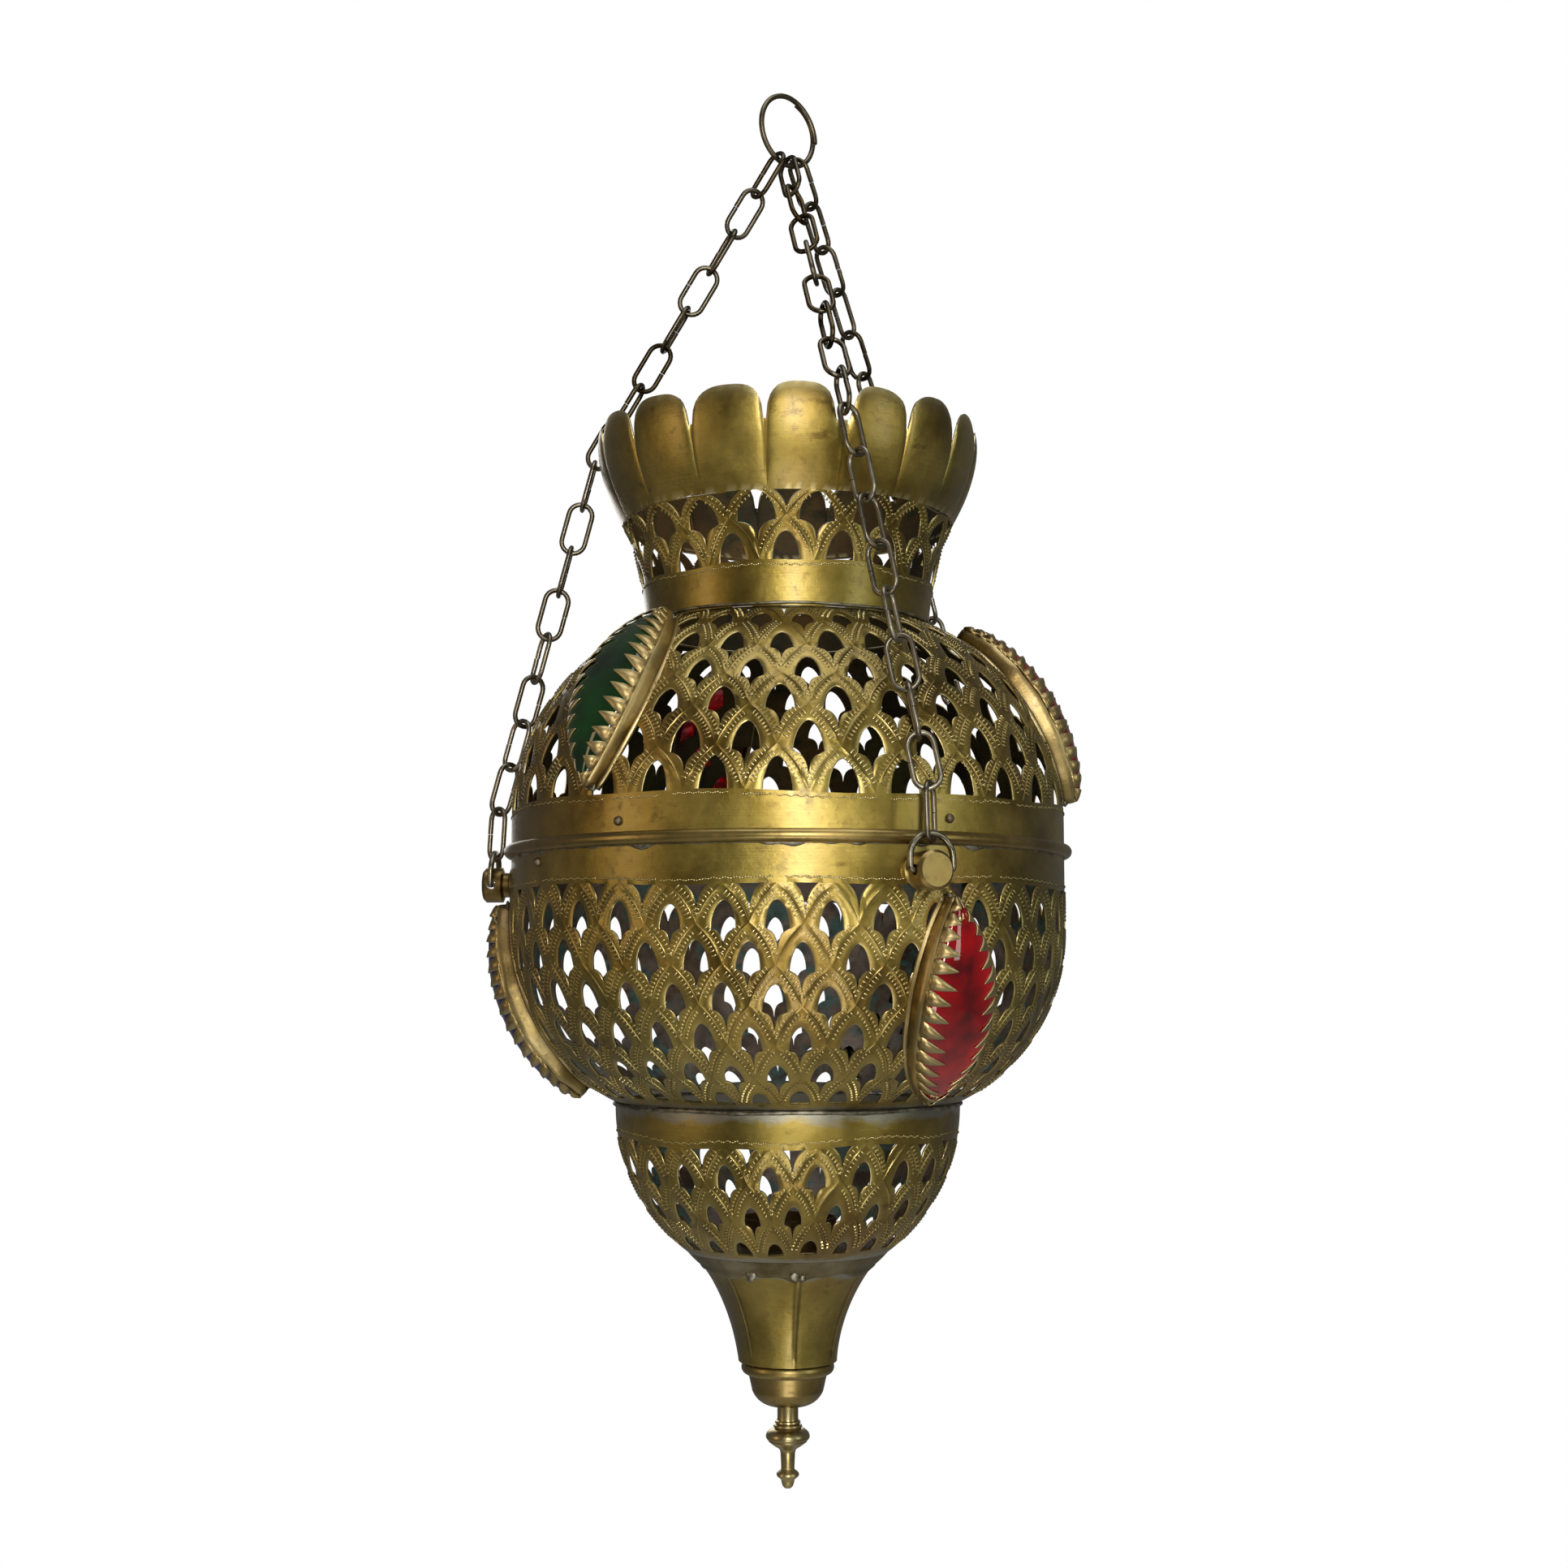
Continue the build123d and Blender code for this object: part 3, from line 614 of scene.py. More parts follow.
class Chasing:
    """Low ridges left by the punch, laid on a shell."""

    # Painted highlight along each ridge's top, painted shade down its sides.
    RIDGE_HIGHLIGHT_AND_SHADE = np.array([[-1, 0.6, -1], [-1, 1.0, -1], [-1, 1.0, -1], [-1, 0.6, -1]])

    def __init__(self, meridian):
        self.meridian = meridian
        self.sheet = Sheet()

    def add(self, start, end, half_width, height):
        """Ridges between arrays of start and end points, each an (azimuth, length) pair."""
        start_azimuth, start_s = start
        end_azimuth, end_s = end
        radius = self.meridian.radius(start_s)
        run = np.radians(end_azimuth - start_azimuth) * radius
        fall = end_s - start_s
        size = np.hypot(run, fall)
        side_azimuth = np.degrees(-fall / size * half_width / radius)
        side_s = run / size * half_width
        rows = []
        profile = ((0.0, 0.8, -0.04), (0.14, 1.0, height), (0.86, 1.0, height), (1.0, 0.8, -0.04))
        for share, wide, lift in profile:
            azimuth = start_azimuth + share * (end_azimuth - start_azimuth)
            s = start_s + share * fall
            left = self.meridian.at(azimuth - wide * side_azimuth, s - wide * side_s, -0.06)
            ridge = self.meridian.at(azimuth, s, lift)
            right = self.meridian.at(azimuth + wide * side_azimuth, s + wide * side_s, -0.06)
            rows.append(np.stack([left, ridge, right], axis=1))
        for ridge in np.stack(rows, axis=1):
            self.sheet.grid(ridge, OUTSIDE, self.RIDGE_HIGHLIGHT_AND_SHADE)

    def build(self, name):
        self.sheet.build(name, [SHEET_BRASS], "sheet_brass", weld=0.0005, angle=60)


def wavy_border(chasing, lattice, s, wave=3.9, height=0.85, broken=0.54):
    """Chased scallops in short runs beside the lattice's edge; broken is the share of breaks."""
    step = degrees(wave / float(lattice.meridian.radius(s)))
    azimuth = 0.0
    while azimuth < 360 - step:
        count = rng.integers(2, 7)
        t = np.arange(count * 4 + 1) / 4
        drop = height * np.abs(np.sin(pi * t + 0.4)) * (0.8 + 0.4 * rng.random())
        line = s + drop + 0.35 * rng.uniform(-1, 1)
        azimuths, lengths = lattice.warp(lattice.start + azimuth + step * t, line)
        chasing.add((azimuths[:-1], lengths[:-1]), (azimuths[1:], lengths[1:]), 0.34, 0.4)
        azimuth += step * (count + (rng.random() < broken) * rng.uniform(0.2, 1.4))


crown_line = Meridian.of_node("crown")
dome_line = Meridian.of_node("upper_dome")
bowl_line = Meridian.of_node("lower_bowl")
cup_line = Meridian.of_node("lower_cup")

DOME_ROWS = (
    (-241.4, 0.0, 0.5, 0.17),
    (-248.6, 0.48, 0.42, 0.26),
    (-261.1, 0.5, 0.48, 0.25),
    (-273.5, 0.52, 0.5, 0.235),
    (-286.6, 0.55, 0.48, 0.235),
    (-303.0, 0.56, 0.52, 0.235),
    (-320.6, 0.7, 0.0, 0.22),
)
BOWL_ROWS = (
    (-355.2, 0.0, 0.66, 0.21),
    (-370.0, 0.55, 0.52, 0.215),
    (-385.7, 0.55, 0.52, 0.225),
    (-400.7, 0.53, 0.52, 0.23),
    (-416.0, 0.5, 0.5, 0.23),
    (-428.8, 0.42, 0.48, 0.24),
    (-439.8, 0.52, 0.0, 0.27),
)
CUP_ROWS = (
    (-457.8, 0.0, 0.6, 0.2),
    (-471.7, 0.53, 0.5, 0.215),
    (-487.0, 0.4, 0.38, 0.2),
    (-502.0, 0.4, 0.0, 0.24),
)
CROWN_ROWS = (
    (-194.4, 0.0, 0.85, 0.3),
    (-204.4, 0.9, 0.45, 0.31),
    (-221.9, 0.66, 0.0, 0.26),
)


def pierced(name, lattice, inside, border, top=0.0, **border_style):
    """One pierced shell and its chasing: ticks on the arms, scallops along a border."""
    lattice.shell(name, inside, top)
    chasing = Chasing(lattice.meridian)
    lattice.ticks(chasing)
    wavy_border(chasing, lattice, border, **border_style)
    chasing.build(f"{name}_chasing")


def shells():
    """Dome, bowl, cup and crown."""
    dome = Lattice(dome_line, 30, DOME_ROWS, -1.8, 0.4)
    pierced("upper_dome", dome, INSIDE_BRASS, dome.levels[-1] + 1.3)
    bowl = Lattice(bowl_line, 35, BOWL_ROWS, 3.0, 1.7, tin_foot=9.0)
    pierced("lower_bowl", bowl, CLOUDED_BRASS, bowl.levels[0] - 2.6, wave=4.4)
    cup = Lattice(cup_line, 23, CUP_ROWS, 2.0, 2.9, tin_top=8.0, tin_foot=7.0)
    pierced("lower_cup", cup, CLOUDED_BRASS, cup.levels[0] - 3.4, height=1.1, broken=0.24)
    crown = Lattice(crown_line, 18, CROWN_ROWS, -0.5, 4.1)
    petal_base = crown.levels[0] - 0.6
    pierced("crown", crown, INSIDE_BRASS, crown.levels[-1] + 1.2, petal_base)
    petals(crown.levels[0] - 0.05)


# ---- crown petals
NOTCH_DEPTH = 15.8
NOTCH_GAP = 1.0
LINK_GAP = 3.4


def petal_edges():
    """Azimuths of the gaps between the flats of the CAD crown's petals."""
    points = cad("crown")[0]
    tips = points[points[:, 2] > points[:, 2].max() - 0.6]
    angles = np.sort(np.degrees(np.arctan2(tips[:, 0], -tips[:, 1])))
    gaps = np.diff(np.append(angles, angles[0] + 360))
    return [float(angles[i] + gaps[i] / 2) for i in np.flatnonzero(gaps > 8)]


def link_at_rim(side, height):
    """The link of a chain that lies nearest a height."""
    links = solids(f"chain_{side}_upper") + solids(f"chain_{side}_lower")
    return min(links, key=lambda points: abs(points[:, 2].mean() - height))


def petals(base):
    """Pressed petals standing on a length of the crown, parted further where a link passes."""
    edges = petal_edges()
    top = float(crown_line.line[0, 1])
    held = [azimuth_of(link_at_rim(side, top - NOTCH_DEPTH / 2)) for side in SIDES]
    notch = crown_line.s_at(top - NOTCH_DEPTH)
    sheet = Sheet()
    for ends in zip(edges, edges[1:] + [edges[0] + 360]):
        away = [min(abs((end - link + 180) % 360 - 180) for link in held) for end in ends]
        gaps = [LINK_GAP if distance < 3 else NOTCH_GAP for distance in away]
        petal(sheet, ends, gaps, base, notch)
    sheet.build("crown_petals", [SHEET_BRASS, INSIDE_BRASS], "sheet_brass", angle=50)


def petal(sheet, ends, gaps, base, notch):
    """One petal, rounded at its tip, with a crease on each side below its notches."""
    across = np.sin(np.linspace(-pi / 2, pi / 2, 23))
    up = np.linspace(0, 1, 15)[:, None]
    centre, half = (ends[0] + ends[1]) / 2, (ends[1] - ends[0]) / 2
    turn = degrees(1 / float(crown_line.radius(0.0)))
    gap = np.where(across < 0, *gaps)
    share = np.clip(np.abs(across) / (1 - gap * turn / half), 0, 1)
    power = 2.3 + 0.5 * rng.random()
    tall = (1 - share**power) ** (1 / power)
    drop = 1.2 * rng.random()
    dent = 0.5 * np.cos(2.2 * across + rng.uniform(0, 6))
    inner = 1 - across**4
    crest = np.maximum(notch + (drop - notch) * tall + dent * (tall > 0.75) * inner, 0.0)
    lean = 1.1 * rng.uniform(-1, 1)
    s = base + up * (crest - base)
    azimuth = centre + half * across + up**2 * lean * inner * turn
    body = np.sin(pi * np.clip(up * 1.05, 0, 1)) ** 0.55
    swell = 0.3 * body * inner - 0.6 * up**0.5 * across**16
    swell = swell + 0.5 * rng.uniform(-1, 1) * up * across * (1 - across**6)
    calm = np.clip(6 * (1 - np.abs(across) * (gap > NOTCH_GAP)), 0, 1)
    lift = (swell * calm - 0.5 * up**10) * np.clip(4 * up, 0, 1) + 0.12
    # The petal's outline is rubbed bright with a painted highlight, on its face and along its cut edges at
    # tip and foot.
    sheet.metal(crown_line, azimuth, s, lift, worn=0.9 * up**24, edge_worn=0.6)


# ---- chains, ring and bails
def oblong(centre, axes, spans):
    """One wire link with the butt of its ends half way down one side."""
    wire = spans[2] / 2
    half_width = spans[1] / 2 - wire
    straight = spans[0] / 2 - wire - half_width
    turns = np.linspace(0, pi, 13)
    upper = [(half_width * cos(a), straight + half_width * sin(a)) for a in turns]
    lower = [(-half_width * cos(a), -straight - half_width * sin(a)) for a in turns]
    left = [(-half_width, y) for y in (straight / 2, 0.0, -straight / 2)]
    first = [(half_width, 0.12), (half_width, straight / 2)]
    last = [(half_width, -straight / 2), (half_width, -0.12)]
    slip = 0.16 * rng.uniform(-1, 1)
    path = [centre + axes[1] * x + axes[0] * y for x, y in first + upper + left + lower + last]
    path[0] = path[0] + axes[2] * slip
    path[-1] = path[-1] - axes[2] * slip
    return capped(tube(path, wire))


def chains():
    """The links of the three chains, the lower runs a little brighter."""
    for side in SIDES:
        for run, bright in (("upper", 0.0), ("lower", 0.2)):
            sheet = Sheet()
            for points in solids(f"chain_{side}_{run}"):
                rings = oblong(*axes_of(points))
                sheet.grid(rings, OUTSIDE, 0.2 * rng.random() + bright, closed=True)
            sheet.build(f"links_{side}_{run}", [CHAIN], "chain_steel", [f"chain_{side}_{run}"],
                        body=f"chain_{side}", angle=60, weld=0.001)


def ring():
    """Split ring: one turn of wire whose ends run a little way side by side."""
    centre, axes, spans = axes_of(cad("suspension_ring")[0])
    wire = spans[2] / 2
    radius = spans[0] / 2 - wire
    up = np.array([0.0, 0.0, 1.0])
    level = np.cross(up, axes[2])
    level *= np.sign(level[0]) / np.linalg.norm(level)
    lap = radians(36)
    turn = np.linspace(radians(60) - lap, radians(420) + lap, 121)
    from_start = np.clip((turn - turn[0]) / (2 * lap), 0, 1)
    from_end = np.clip((turn[-1] - turn) / (2 * lap), 0, 1)
    offset = wire * 1.02 * ((1 - from_end) ** 2 - (1 - from_start) ** 2)
    path = [centre + radius * (level * sin(a) + up * cos(a)) + axes[2] * o for a, o in zip(turn, offset)]
    sheet = Sheet()
    sheet.grid(capped(tube(path, wire, 12)), OUTSIDE, 0.15, closed=True)
    sheet.build("split_ring", [RING], "ring_steel", ["suspension_ring"], body="suspension_ring", angle=60)


# ---- jewels
JEWELS = (
    ("dome", "left", GREEN, "glass_green"), ("dome", "right", RED, "glass_red"),
    ("dome", "back", RED, "glass_red"), ("bowl", "left", BLUE, "glass_blue"),
    ("bowl", "right", RED, "glass_red"), ("bowl", "back", GREEN, "glass_green"),
)
HALF_JEWEL = 43.5
TEETH = 16
# Heights off the shell: the glass's crest and edge, and the lip of the wall round it.
CREST, EDGE, LIP = 10.4, 4.8, 5.5
# Section of the bent-up wall, from its flange to its lip: outset, height, and how far it follows
# the shell's curve; then the wear and painted light along it.
WALL = (
    (2.4, -0.6, 1), (1.9, 0.4, 1), (1.0, 0.9, 1), (0.9, 2.0, 0.8),
    (0.8, 3.4, 0.2), (0.5, 4.7, 0), (0.0, 5.4, 0), (-1.0, 5.4, 0),
)
# Painted highlight on the flange's edge, painted shade in the hollow band above it, and the lip rubbed
# bright with a painted highlight.
WALL_WEAR_AND_SHADING = np.array([[0.0], [0.7], [-0.8], [0.0], [0.1], [0.2], [0.4], [0.3]])
# Shares of a tooth's length at which its rows of points lie.
TOOTH_ROWS = (0.03, 0.07, 0.12, 0.18, 0.26, 0.38, 0.55, 0.75, 0.9, 1.0)


class JewelSeat:
    """Place of one jewel on its shell, in lengths down the jewel, across it and off the shell.

    Slant is how far its teeth lean down it.
    """

    def __init__(self, level, side):
        self.line = dome_line if level == "dome" else bowl_line
        self.azimuth = azimuth_of(cad(f"{level}_glass_{side}")[0])
        bezel = cad(f"{level}_bezel_{side}")[0]
        turn = radians(self.azimuth)
        sideways = bezel[:, :2] @ np.array([cos(turn), sin(turn)])
        foot, top = (sideways[np.argsort(sign * bezel[:, 2])[:12]].mean() for sign in (1, -1))
        self.tilt = radians(round(degrees((foot - top) / (2 * HALF_JEWEL - 3))))
        self.slant = 2.4 if level == "bowl" else -2.4
        middle = bezel[np.abs(sideways) < 4, 2]
        ends = (middle.min() + 3.0, middle.max() - 3.0)
        self.middle = (self.line.s_at(ends[0]) + self.line.s_at(ends[1])) / 2
        self.half_width = float(np.abs(sideways).max()) - 2.6

    def at(self, along, across, lift, seated=0.0):
        """Points of the jewel, lifted off its straight seat or, if seated is 1, off the shell."""
        along, across = np.asarray(along, float), np.asarray(across, float)
        s = self.middle + along * cos(self.tilt) - across * sin(self.tilt)
        across = across * cos(self.tilt) + along * sin(self.tilt)
        base = self.line.at(0.0, s, lift - seated * across**2 / (2 * self.line.radius(s)))
        r, z = -base[..., 1], base[..., 2]
        turn = radians(self.azimuth)
        x = r * sin(turn) + across * cos(turn)
        y = -r * cos(turn) + across * sin(turn)
        return np.stack(np.broadcast_arrays(x, y, z), axis=-1)

    def width(self, along):
        """Half width of the setting at a length from its middle."""
        share = np.clip(np.abs(along) / HALF_JEWEL, 0, 1)
        return self.half_width * (1 - share**2.1) ** 0.92

    def skin(self, along, across, over=0.0):
        """A point on the glass, over being its clearance above it."""
        share = np.clip(np.abs(along) / HALF_JEWEL, 0, 1)
        crest = 0.4 + (CREST - EDGE - 0.4) * np.sqrt(1 - share**2.4)
        side = np.clip(np.abs(across) / np.maximum(self.width(along) - 0.9, 0.6), 0, 1)
        return self.at(along, across, EDGE + crest * (1 - side**3.4) ** 0.5 + over)


def jewel_glass(seat, name, colour, slot, replaced):
    """Long domed glass, closed by its sides and a back near the shell."""
    sheet = Sheet()
    along = np.linspace(-1, 1, 41)[:, None] * (HALF_JEWEL - 2.2)
    share = np.sin(np.linspace(-pi / 2, pi / 2, 31))
    across = np.maximum(seat.width(along) - 0.95, 0.5) * share
    along = along + 0 * across
    top = seat.skin(along, across)
    under = seat.at(along, across, 0.6, 1.0)
    sheet.grid(top)
    sheet.grid(under)
    for edge in (0, -1):
        sheet.grid(np.stack([top[:, edge], under[:, edge]]))
        sheet.grid(np.stack([top[edge], under[edge]]))
    sheet.build(name, [colour], slot, [replaced], angle=50)


def bezel_wall(sheet, seat, edge, side):
    """The dented wall along one side of a jewel."""
    width = np.maximum(seat.width(edge), 0.4)
    dents = np.convolve(rng.uniform(-1, 1, len(edge) + 2), np.ones(3) / 2, "valid")
    rows = []
    for outset, height, seated in WALL:
        ends = 1 + outset / HALF_JEWEL * 0.6
        bent = 0.55 * dents * np.clip(height / 3, 0, 1)
        rows.append(seat.at(edge * ends, side * (width + outset + bent), height + 0.5 * bent, seated))
    sheet.grid(np.array(rows), OUTSIDE, WALL_WEAR_AND_SHADING)


def saw_tooth(sheet, seat, start, end, side):
    """One slanted tooth from the wall's lip in over the glass."""
    middle = (start + end) / 2
    reach = min(8.6, 0.52 * seat.width(middle) + 1.2) * (0.86 + 0.28 * rng.random())
    bend = seat.slant * (0.5 + 0.07 * reach) + 0.6 * rng.uniform(-1, 1)
    raised = 0.25 + 0.35 * rng.random()
    rows = [[seat.at(e, side * (seat.width(e) + 0.1), LIP) for e in (start, middle, end)]]
    for t in TOOTH_ROWS:
        narrow = 0.5 * (end - start) * t
        along = np.array([start + narrow, middle, end - narrow]) + bend * t
        base = np.maximum(seat.width(along) - 1.0, 0.3)
        across = np.maximum(base - reach * t, 0.05)
        ridge = np.array([0.0, 0.1 * (1 - t), 0.0])
        rows.append(seat.skin(along, side * across, 0.34 + raised * t * t + ridge))
    # Tooth edges and tip rubbed bright, with a painted highlight.
    wear_and_shading = np.outer(np.linspace(0.2, 1.0, len(rows)), [0.9, 0.2, 0.9])
    sheet.grid(np.array(rows), OUTSIDE, wear_and_shading)


def jewel_bezel(seat, name, replaced):
    """Bent-up wall round the glass with long saw teeth pressed over it."""
    sheet = Sheet()
    edge = np.linspace(-1, 1, TEETH * 2 + 1)
    edge = np.sign(edge) * np.abs(edge) ** 0.94 * HALF_JEWEL
    for side in (1, -1):
        bezel_wall(sheet, seat, edge, side)
        for start, end in zip(edge[:-1:2], edge[2::2]):
            saw_tooth(sheet, seat, start, end, side)
    for end in (-1, 1):
        crimp(sheet, seat, end)
    piece = sheet.build(name, [BEZEL_BRASS], "bezel_brass", [replaced], angle=45, weld=0.02)
    thicken(piece, 0.42)


def crimp(sheet, seat, end):
    """Gathered folds of brass at a jewel's point."""
    for fold in range(7):
        lean = (fold - 3) * 1.5 + 0.5 * rng.uniform(-1, 1)
        reach = 6.4 + 2.0 * rng.random()
        start = end * (HALF_JEWEL - 8.4 - 0.7 * abs(fold - 3))
        rows = []
        for t in (0.0, 0.35, 0.7, 1.0):
            height = 8.0 - 2.6 * t + 1.2 * rng.random()
            along, across = start + end * reach * t, lean * (1 - 0.6 * t)
            wide = 1.1 - 0.5 * t
            rows.append([seat.at(along, across + w * wide, height - abs(w) * 0.9) for w in (-1, 0, 1)])
        sheet.grid(np.array(rows), OUTSIDE, 0.4)


def thicken(piece, thickness):
    """Gives a sheet piece its thickness, inwards, as part of its mesh."""
    solid = piece.modifiers.new("thickness", "SOLIDIFY")
    solid.thickness = thickness * MM
    solid.offset = -1
    solid.use_rim = True
    graph = bpy.context.evaluated_depsgraph_get()
    made = bpy.data.meshes.new_from_object(piece.evaluated_get(graph))
    piece.modifiers.clear()
    old = piece.data
    piece.data = made
    bpy.data.meshes.remove(old)


def jewels():
    """Glass, bezel and end drops of solder of the six jewels."""
    for level, side, colour, slot in JEWELS:
        seat = JewelSeat(level, side)
        key = f"{level}_{side}"
        jewel_glass(seat, f"{key}_glass_dome", colour, slot, f"{level}_glass_{side}")
        jewel_bezel(seat, f"{key}_saw_bezel", f"{level}_bezel_{side}")
        for end, name in ((-1, "top"), (1, "foot")):
            blob(f"{key}_solder_{name}", seat.at(end * (HALF_JEWEL - 1.0), 0.4, 1.2), 2.6, 0.45)


# ---- solder
def blob(name, centre, radius, rough):
    """A small lumpy drop of solder, flat against the body."""
    sheet = Sheet()
    lat = np.linspace(-pi / 2, pi / 2, 9)[:, None]
    lon = np.linspace(0, 2 * pi, 14, endpoint=False)[None, :]
    size = radius * (1 + rough * 0.4 * np.sin(3 * lon + rng.uniform(0, 6)) * np.cos(lat)
                     + rough * 0.3 * np.sin(4 * lat + rng.uniform(0, 6)))
    out = np.array([centre[0], centre[1], 0.0])
    out /= np.linalg.norm(out)
    up = np.array([0.0, 0.0, 1.0])
    reach = (size * np.cos(lat) * np.cos(lon), size * np.cos(lat) * np.sin(lon), 0.5 * size * np.sin(lat))
    points = centre + sum(part[..., None] * axis for part, axis in zip(reach, (np.cross(up, out), up, out)))
    sheet.grid(points, closed=True)
    sheet.build(name, [TIN], "tin_solder", angle=80)


def random_sine(turn, count):
    """A sine round the body at a random phase."""
    return np.sin(count * turn + rng.uniform(0, 6))


def lumpy_ring(name, node, inset, rise, thick, unevenness, waves):
    """A run of solder in place of a CAD one, uneven in thickness and line."""
    low, high = box(node)
    turn = np.linspace(0, 2 * pi, 361)[:-1]
    swell = 1 + unevenness * sum(random_sine(turn, count) for count in waves) / len(waves)
    z = (low[2] + high[2]) / 2 + rise + 0.25 * thick * random_sine(turn, 9)
    path = around(high[0] - inset, turn, z)
    rings = tube(path, thick * swell, closed=True)
    sheet = Sheet()
    sheet.grid(np.concatenate([rings, rings[:1]]), closed=True)
    sheet.build(name, [TIN], "tin_solder", [node], angle=80)


def bead_seam():
    """Thin ragged solder that shows under the moulding over the seam."""
    turn = np.linspace(0, 2 * pi, 721)
    height = 0.5 * (np.sin(11 * turn + 1) + np.sin(27 * turn + 2.2) + 0.7 * np.sin(61 * turn))
    height = np.clip(height, 0.12, 1.3)
    radius = bowl_line.radius(0.0)
    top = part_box("equator_bead")[0][2] / MM + 0.3
    rows = []
    for depth, out in ((0.0, 0.9), (0.45, 0.75), (1.0, 0.1)):
        r = radius + out * np.clip(height, 0.2, 1)
        rows.append(around(r, turn, top - depth * (0.4 + 1.5 * height)))
    inwards = np.array([0.9985, 0.9985, 1])
    sheet = Sheet()
    sheet.grid(np.array(rows + [rows[-1] * inwards, rows[0] * inwards, rows[0]]))
    sheet.build("bead_seam_solder", [TIN], "tin_solder", angle=80)


# ---- cone, collar and finial
CREASES = 7
CREASE_AT = 7.0
CONE_LIFT = -0.1


def from_crease(azimuths):
    """How far azimuths lie from the nearest crease: 0 on it, 1 half way to the next."""
    phase = (azimuths - CREASE_AT) * CREASES / 360
    return np.abs(phase - np.round(phase)) * 2


def cone(line):
    """Cone bent in seven panels, with a sharp raised crease between each pair."""
    across = CREASE_AT + np.linspace(0, 360, CREASES * 26 + 1)
    azimuths, s = np.meshgrid(across, np.linspace(0, line.length, 30))
    near = from_crease(azimuths)
    strength = np.sin(pi * np.clip(0.08 + 0.9 * s / line.length, 0, 1)) ** 0.5
    lift = strength * (0.5 * np.exp(-((near / 0.05) ** 2)) - 0.55 * np.sin(pi * near / 2 + 0.2) ** 2)
    # Painted highlight along each crease and painted shade in the hollow beside it.
    wear_and_shading = strength * (0.3 * np.exp(-((near / 0.04) ** 2)) - 0.9 * np.exp(-(((near - 0.09) / 0.03) ** 2)))
    sheet = Sheet()
    sheet.metal(line, azimuths, s, lift + CONE_LIFT, wear_and_shading, np.clip(1 - s / 7.0, 0, 1))
    sheet.build("creased_cone", [SHEET_BRASS, INSIDE_BRASS], "sheet_brass", ["fluted_cone"])


def collar(cone_line):
    """Tinned collar that runs from the cup down over the tops of the cone's panels."""
    low, high = box("cone_collar")
    azimuths = np.linspace(0, 360, 361)
    reach = 1.6 + 3.4 * (1 - from_crease(azimuths)) ** 2.2 + 0.5 * np.sin(np.radians(azimuths) * 17)
    foot = float(cone_line.radius(0.0)) + 0.25
    rows = []
    for share in np.linspace(0, 1, 5):
        r = high[0] + (foot - high[0]) * share + 0.25 * sin(pi * share)
        rows.append(around(r, np.radians(azimuths), high[2] + (low[2] - high[2]) * share))
    for share in (0.25, 0.6, 0.9, 1.0):
        rows.append(cone_line.at(azimuths, reach * share, 0.3 - 0.35 * share**4))
    outer = np.array(rows)
    inner = outer.copy()
    inner[..., :2] *= 1 - 0.5 / np.hypot(inner[..., :1], inner[..., 1:2])
    sheet = Sheet()
    sheet.grid(outer)
    sheet.grid(inner)
    for row in (0, -1):
        sheet.grid(np.array([outer[row], inner[row]]))
    sheet.build("tinned_collar", [COLLAR], "tin_solder", ["cone_collar"], angle=60)
    for azimuth, s, size in ((4.0, 0.6, 1.9), (9.5, 1.4, 1.3), (-24.0, 0.8, 2.2), (118.0, 1.0, 1.8)):
        blob(f"collar_drop_{round(azimuth) % 360}", cone_line.at(azimuth, s, 0.6), size, 0.3)


# Section of the finial below the cap, top to foot: radius, and share of the way down.
FINIAL = (
    (0.01, 0.0), (4.4, 0.0), (4.4, 0.15), (4.55, 0.175), (5.2, 0.185), (5.4, 0.205), (4.9, 0.22),
    (5.8, 0.23), (6.1, 0.25), (5.6, 0.27), (6.9, 0.28), (8.1, 0.305), (8.9, 0.33), (9.25, 0.36),
    (9.2, 0.385), (8.8, 0.405), (8.1, 0.412), (8.2, 0.43), (6.7, 0.465), (5.2, 0.495), (4.0, 0.515),
    (3.4, 0.535), (3.1, 0.57), (2.9, 0.68), (2.8, 0.76), (3.2, 0.777), (4.2, 0.795), (4.7, 0.815),
    (4.75, 0.835), (4.3, 0.855), (3.4, 0.875), (2.9, 0.89), (2.6, 0.93), (2.2, 0.965), (1.4, 0.99),
    (0.01, 1.0),
)


def turned_face(section, count):
    """A section of radii and heights turned round the body's axis."""
    radius, z = np.array(section, float).T[..., None]
    return around(radius, np.radians(np.linspace(0, 360, count + 1)), z)


def finial():
    """Turned drop with collar rings, a disc knurled underneath, a thin stem and a small button."""
    low, high = box("finial")
    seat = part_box("base_cap")[0][2] / MM
    points = turned_face([(r, seat - share * (seat - low[2])) for r, share in FINIAL], 96)
    share = np.array([share for _, share in FINIAL])
    knurled = (share > 0.425) & (share < 0.48)
    scale = 1 - 0.03 * np.outer(knurled, np.arange(points.shape[1]) % 2)
    points[..., :2] *= scale[..., None]
    sheet = Sheet()
    # The whole drop is brightened toward the pale tone: painted light from the key lamp.
    sheet.grid(points, OUTSIDE, 0.35)
    sheet.grid(turned_face([(2.45, high[2]), (2.45, seat - 0.01)], 24))
    sheet.build("turned_finial", [TURNED_BRASS], "turned_brass", ["finial"], angle=32, weld=0.03)


# ---- kept CAD nodes
def dress_kept():
    """Materials of the CAD nodes that stay as they are."""
    kept = {
        "roll_bead": TURNED_BRASS, "base_cap": TURNED_BRASS, "equator_bead": TURNED_BRASS,
        "candle_plate": INSIDE_BRASS, "candle_cup": INSIDE_BRASS,
        "stud_nuts": NUT, "finial_nut": NUT, "band_rivets": RIVET,
    }
    for side in SIDES:
        kept[f"stud_{side}"] = TURNED_BRASS
        kept[f"bail_{side}"] = BAIL
    for name, material in kept.items():
        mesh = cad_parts[name].data
        mesh.materials.clear()
        mesh.materials.append(material)


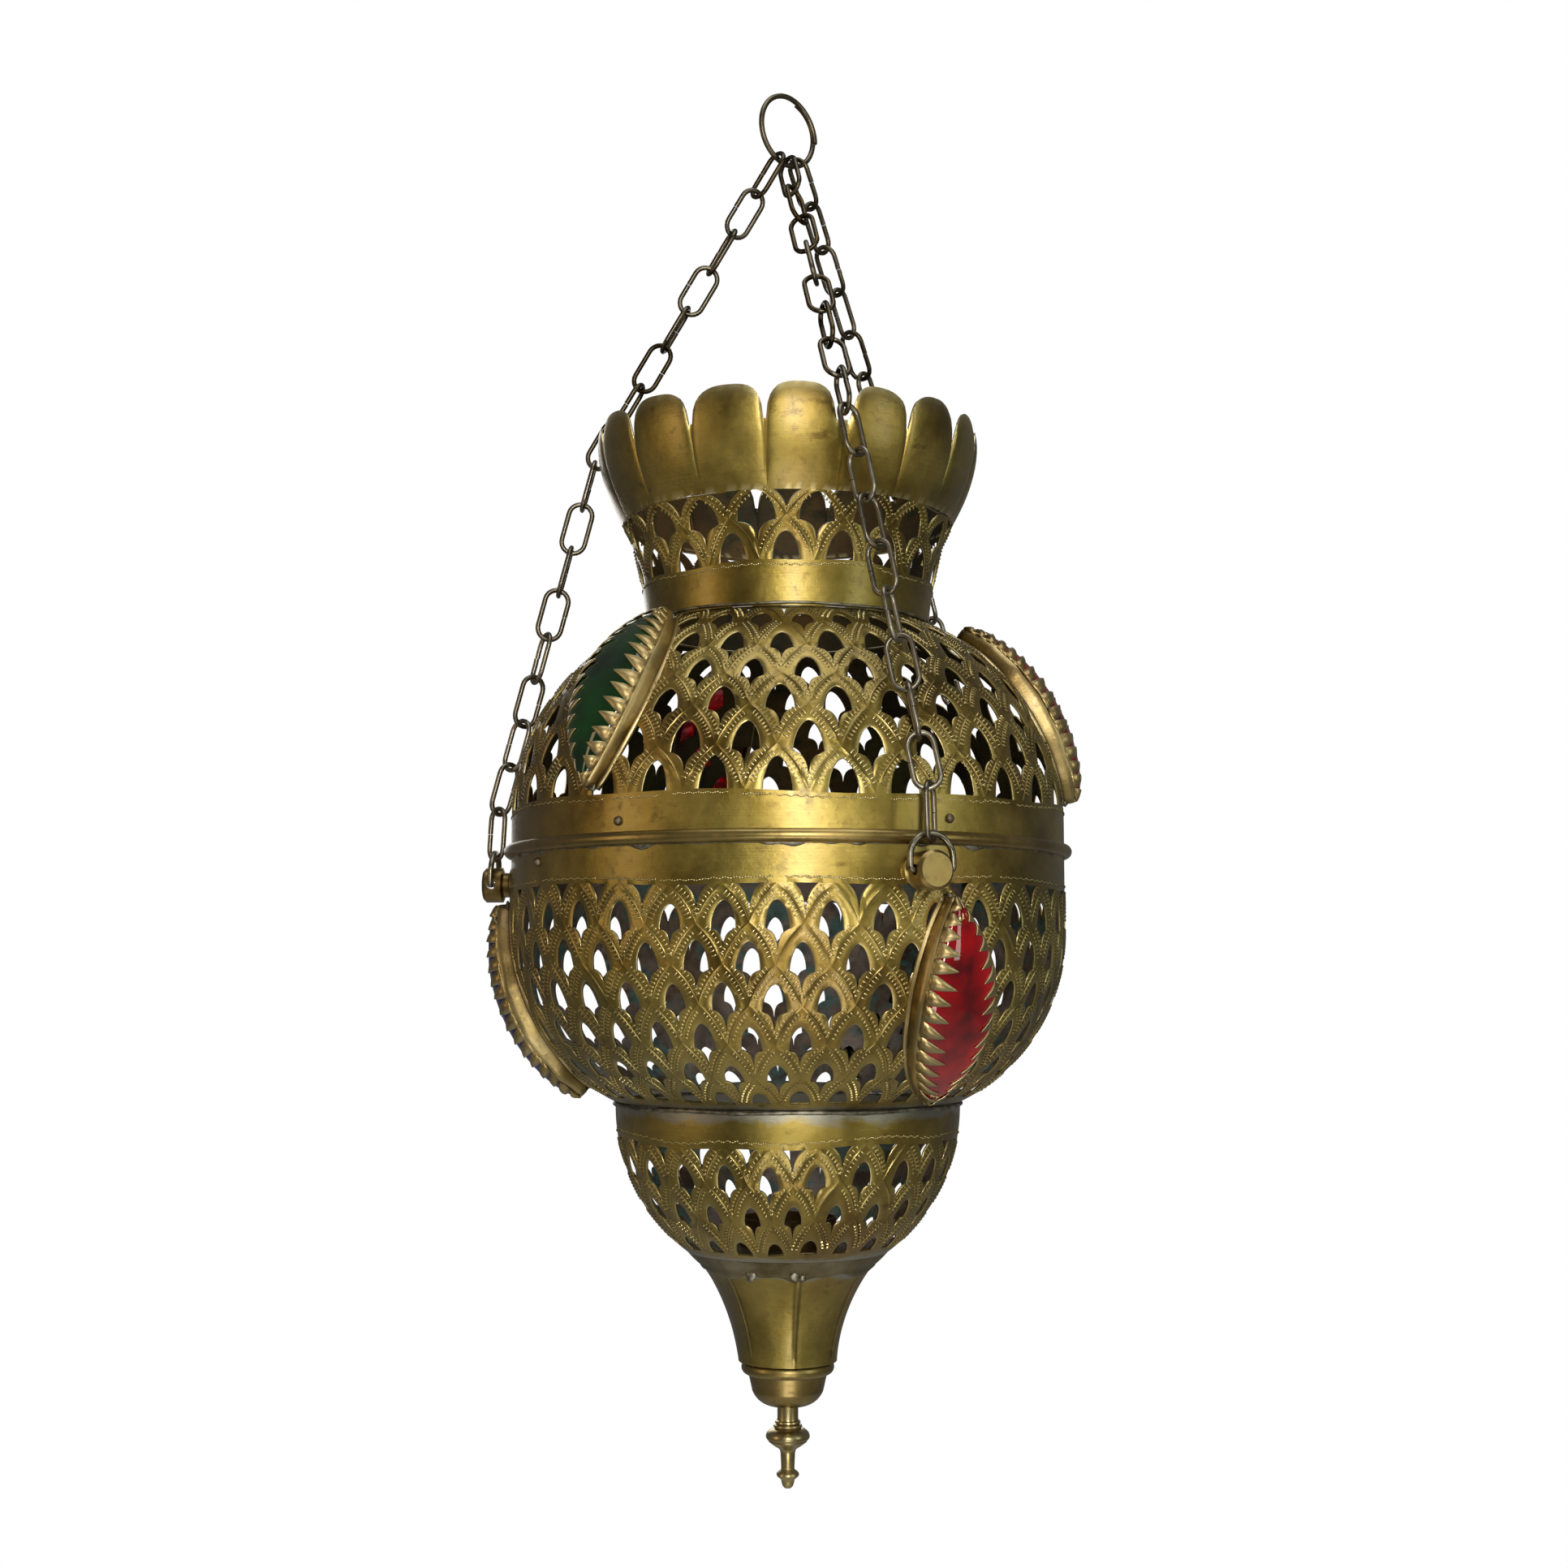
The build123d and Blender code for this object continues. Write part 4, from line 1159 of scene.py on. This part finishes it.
# ---- scene
# Position, drop of the aim, size, power and colour of each light, in metres and watts.
LIGHTS = {
    "key": ((0.12, -1.5, -0.1), 0.0, (0.22, 0.9), 13, (1.0, 0.98, 0.93)),
    "left_warm": ((-1.3, -0.6, -0.2), 0.0, (0.3, 0.9), 2.2, (1.0, 0.74, 0.45)),
    "right_cool": ((1.2, -0.8, -0.1), 0.0, (0.3, 1.0), 3.2, (0.92, 1.0, 0.88)),
    "above": ((0.1, -0.3, 0.9), 0.0, (0.9, 0.9), 6, (1, 1, 1)),
    "behind": ((-0.2, 1.4, 0.1), 0.0, (1.0, 1.0), 7, (1, 1, 1)),
    "below": ((0.05, -1.0, -1.15), 0.12, (0.5, 0.4), 3.4, (1.0, 0.97, 0.9)),
}


def add_object(name, data):
    """A new object in the scene."""
    made = bpy.data.objects.new(name, data)
    bpy.context.scene.collection.objects.link(made)
    return made


def lights():
    """Soft lights aimed at the middle of the lantern, or at a drop below it."""
    low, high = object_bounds()
    middle = (Vector(low) + Vector(high)) / 2
    for name, (position, drop, size, power, colour) in LIGHTS.items():
        lamp = bpy.data.lights.new(name, "AREA")
        lamp.shape = "RECTANGLE"
        lamp.size, lamp.size_y = size
        lamp.energy = power
        lamp.color = colour
        holder = add_object(name, lamp)
        holder.location = position
        aim = middle - Vector((0, 0, drop)) - Vector(position)
        holder.rotation_euler = aim.to_track_quat("-Z", "Y").to_euler()


def backdrop():
    """A world that is white to the camera and dim to the lantern."""
    scene = bpy.context.scene
    world = bpy.data.worlds.new("studio")
    world.use_nodes = True
    tree = world.node_tree
    tree.nodes.clear()
    direct = add_node(tree, "LightPath", {}).outputs["Is Camera Ray"]
    seen = add_node(tree, "Background", {"Color": (1, 1, 1, 1), "Strength": 1.0}).outputs[0]
    dim = add_node(tree, "Background", {"Color": (1.0, 0.98, 0.94, 1), "Strength": 0.12}).outputs[0]
    chosen = add_node(tree, "MixShader", {0: direct, 1: dim, 2: seen}).outputs[0]
    add_node(tree, "OutputWorld", {"Surface": chosen})
    scene.world = world
    scene.view_settings.view_transform = "Standard"
    scene.view_settings.look = "None"


def floor():
    """A pale floor far below, which glows only for the camera."""
    reach, level = 2.4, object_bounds()[0][2] - 1.3
    corners = [(x * reach, y * reach, level) for x, y in ((-1, -1), (1, -1), (1, 1), (-1, 1))]
    mesh = bpy.data.meshes.new("floor")
    mesh.from_pydata(corners, [], [(0, 1, 2, 3)])
    made = Finish("pale_floor")
    grain = made.noise(made.here(), 6.0)
    direct = made.add("LightPath", {})["Is Camera Ray"]
    connect(made.tree, made.surface, {
        "Base Color": made.blend(grain, rgb(236, 236, 234), rgb(244, 244, 242)),
        "Roughness": 0.7,
        "Emission Color": rgb(240, 240, 238),
        "Emission Strength": made.times(direct, 0.6),
    })
    mesh.materials.append(made.material)
    add_object("floor", mesh)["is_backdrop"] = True


def camera():
    """The view from the front, a little below the lantern's middle."""
    lens = bpy.data.cameras.new("camera")
    lens.lens = 47.42
    lens.sensor_width = 36.0
    holder = add_object("camera", lens)
    holder.location = (-0.0016, -0.89075, -0.3923)
    holder.rotation_euler = (radians(95.45), 0.0, 0.0)
    bpy.context.scene.camera = holder


shells()
jewels()
lumpy_ring("neck_seam", "neck_solder", 0.72, 0.0, 0.62, 0.2, (5, 13, 31))
lumpy_ring("bowl_seam", "bowl_solder", 1.85, 0.3, 0.85, 0.3, (7, 17, 29, 53))
bead_seam()
cone_line = Meridian.of_node("fluted_cone")
cone(cone_line)
collar(cone_line)
finial()
chains()
ring()
dress_kept()
backdrop()
lights()
floor()
camera()
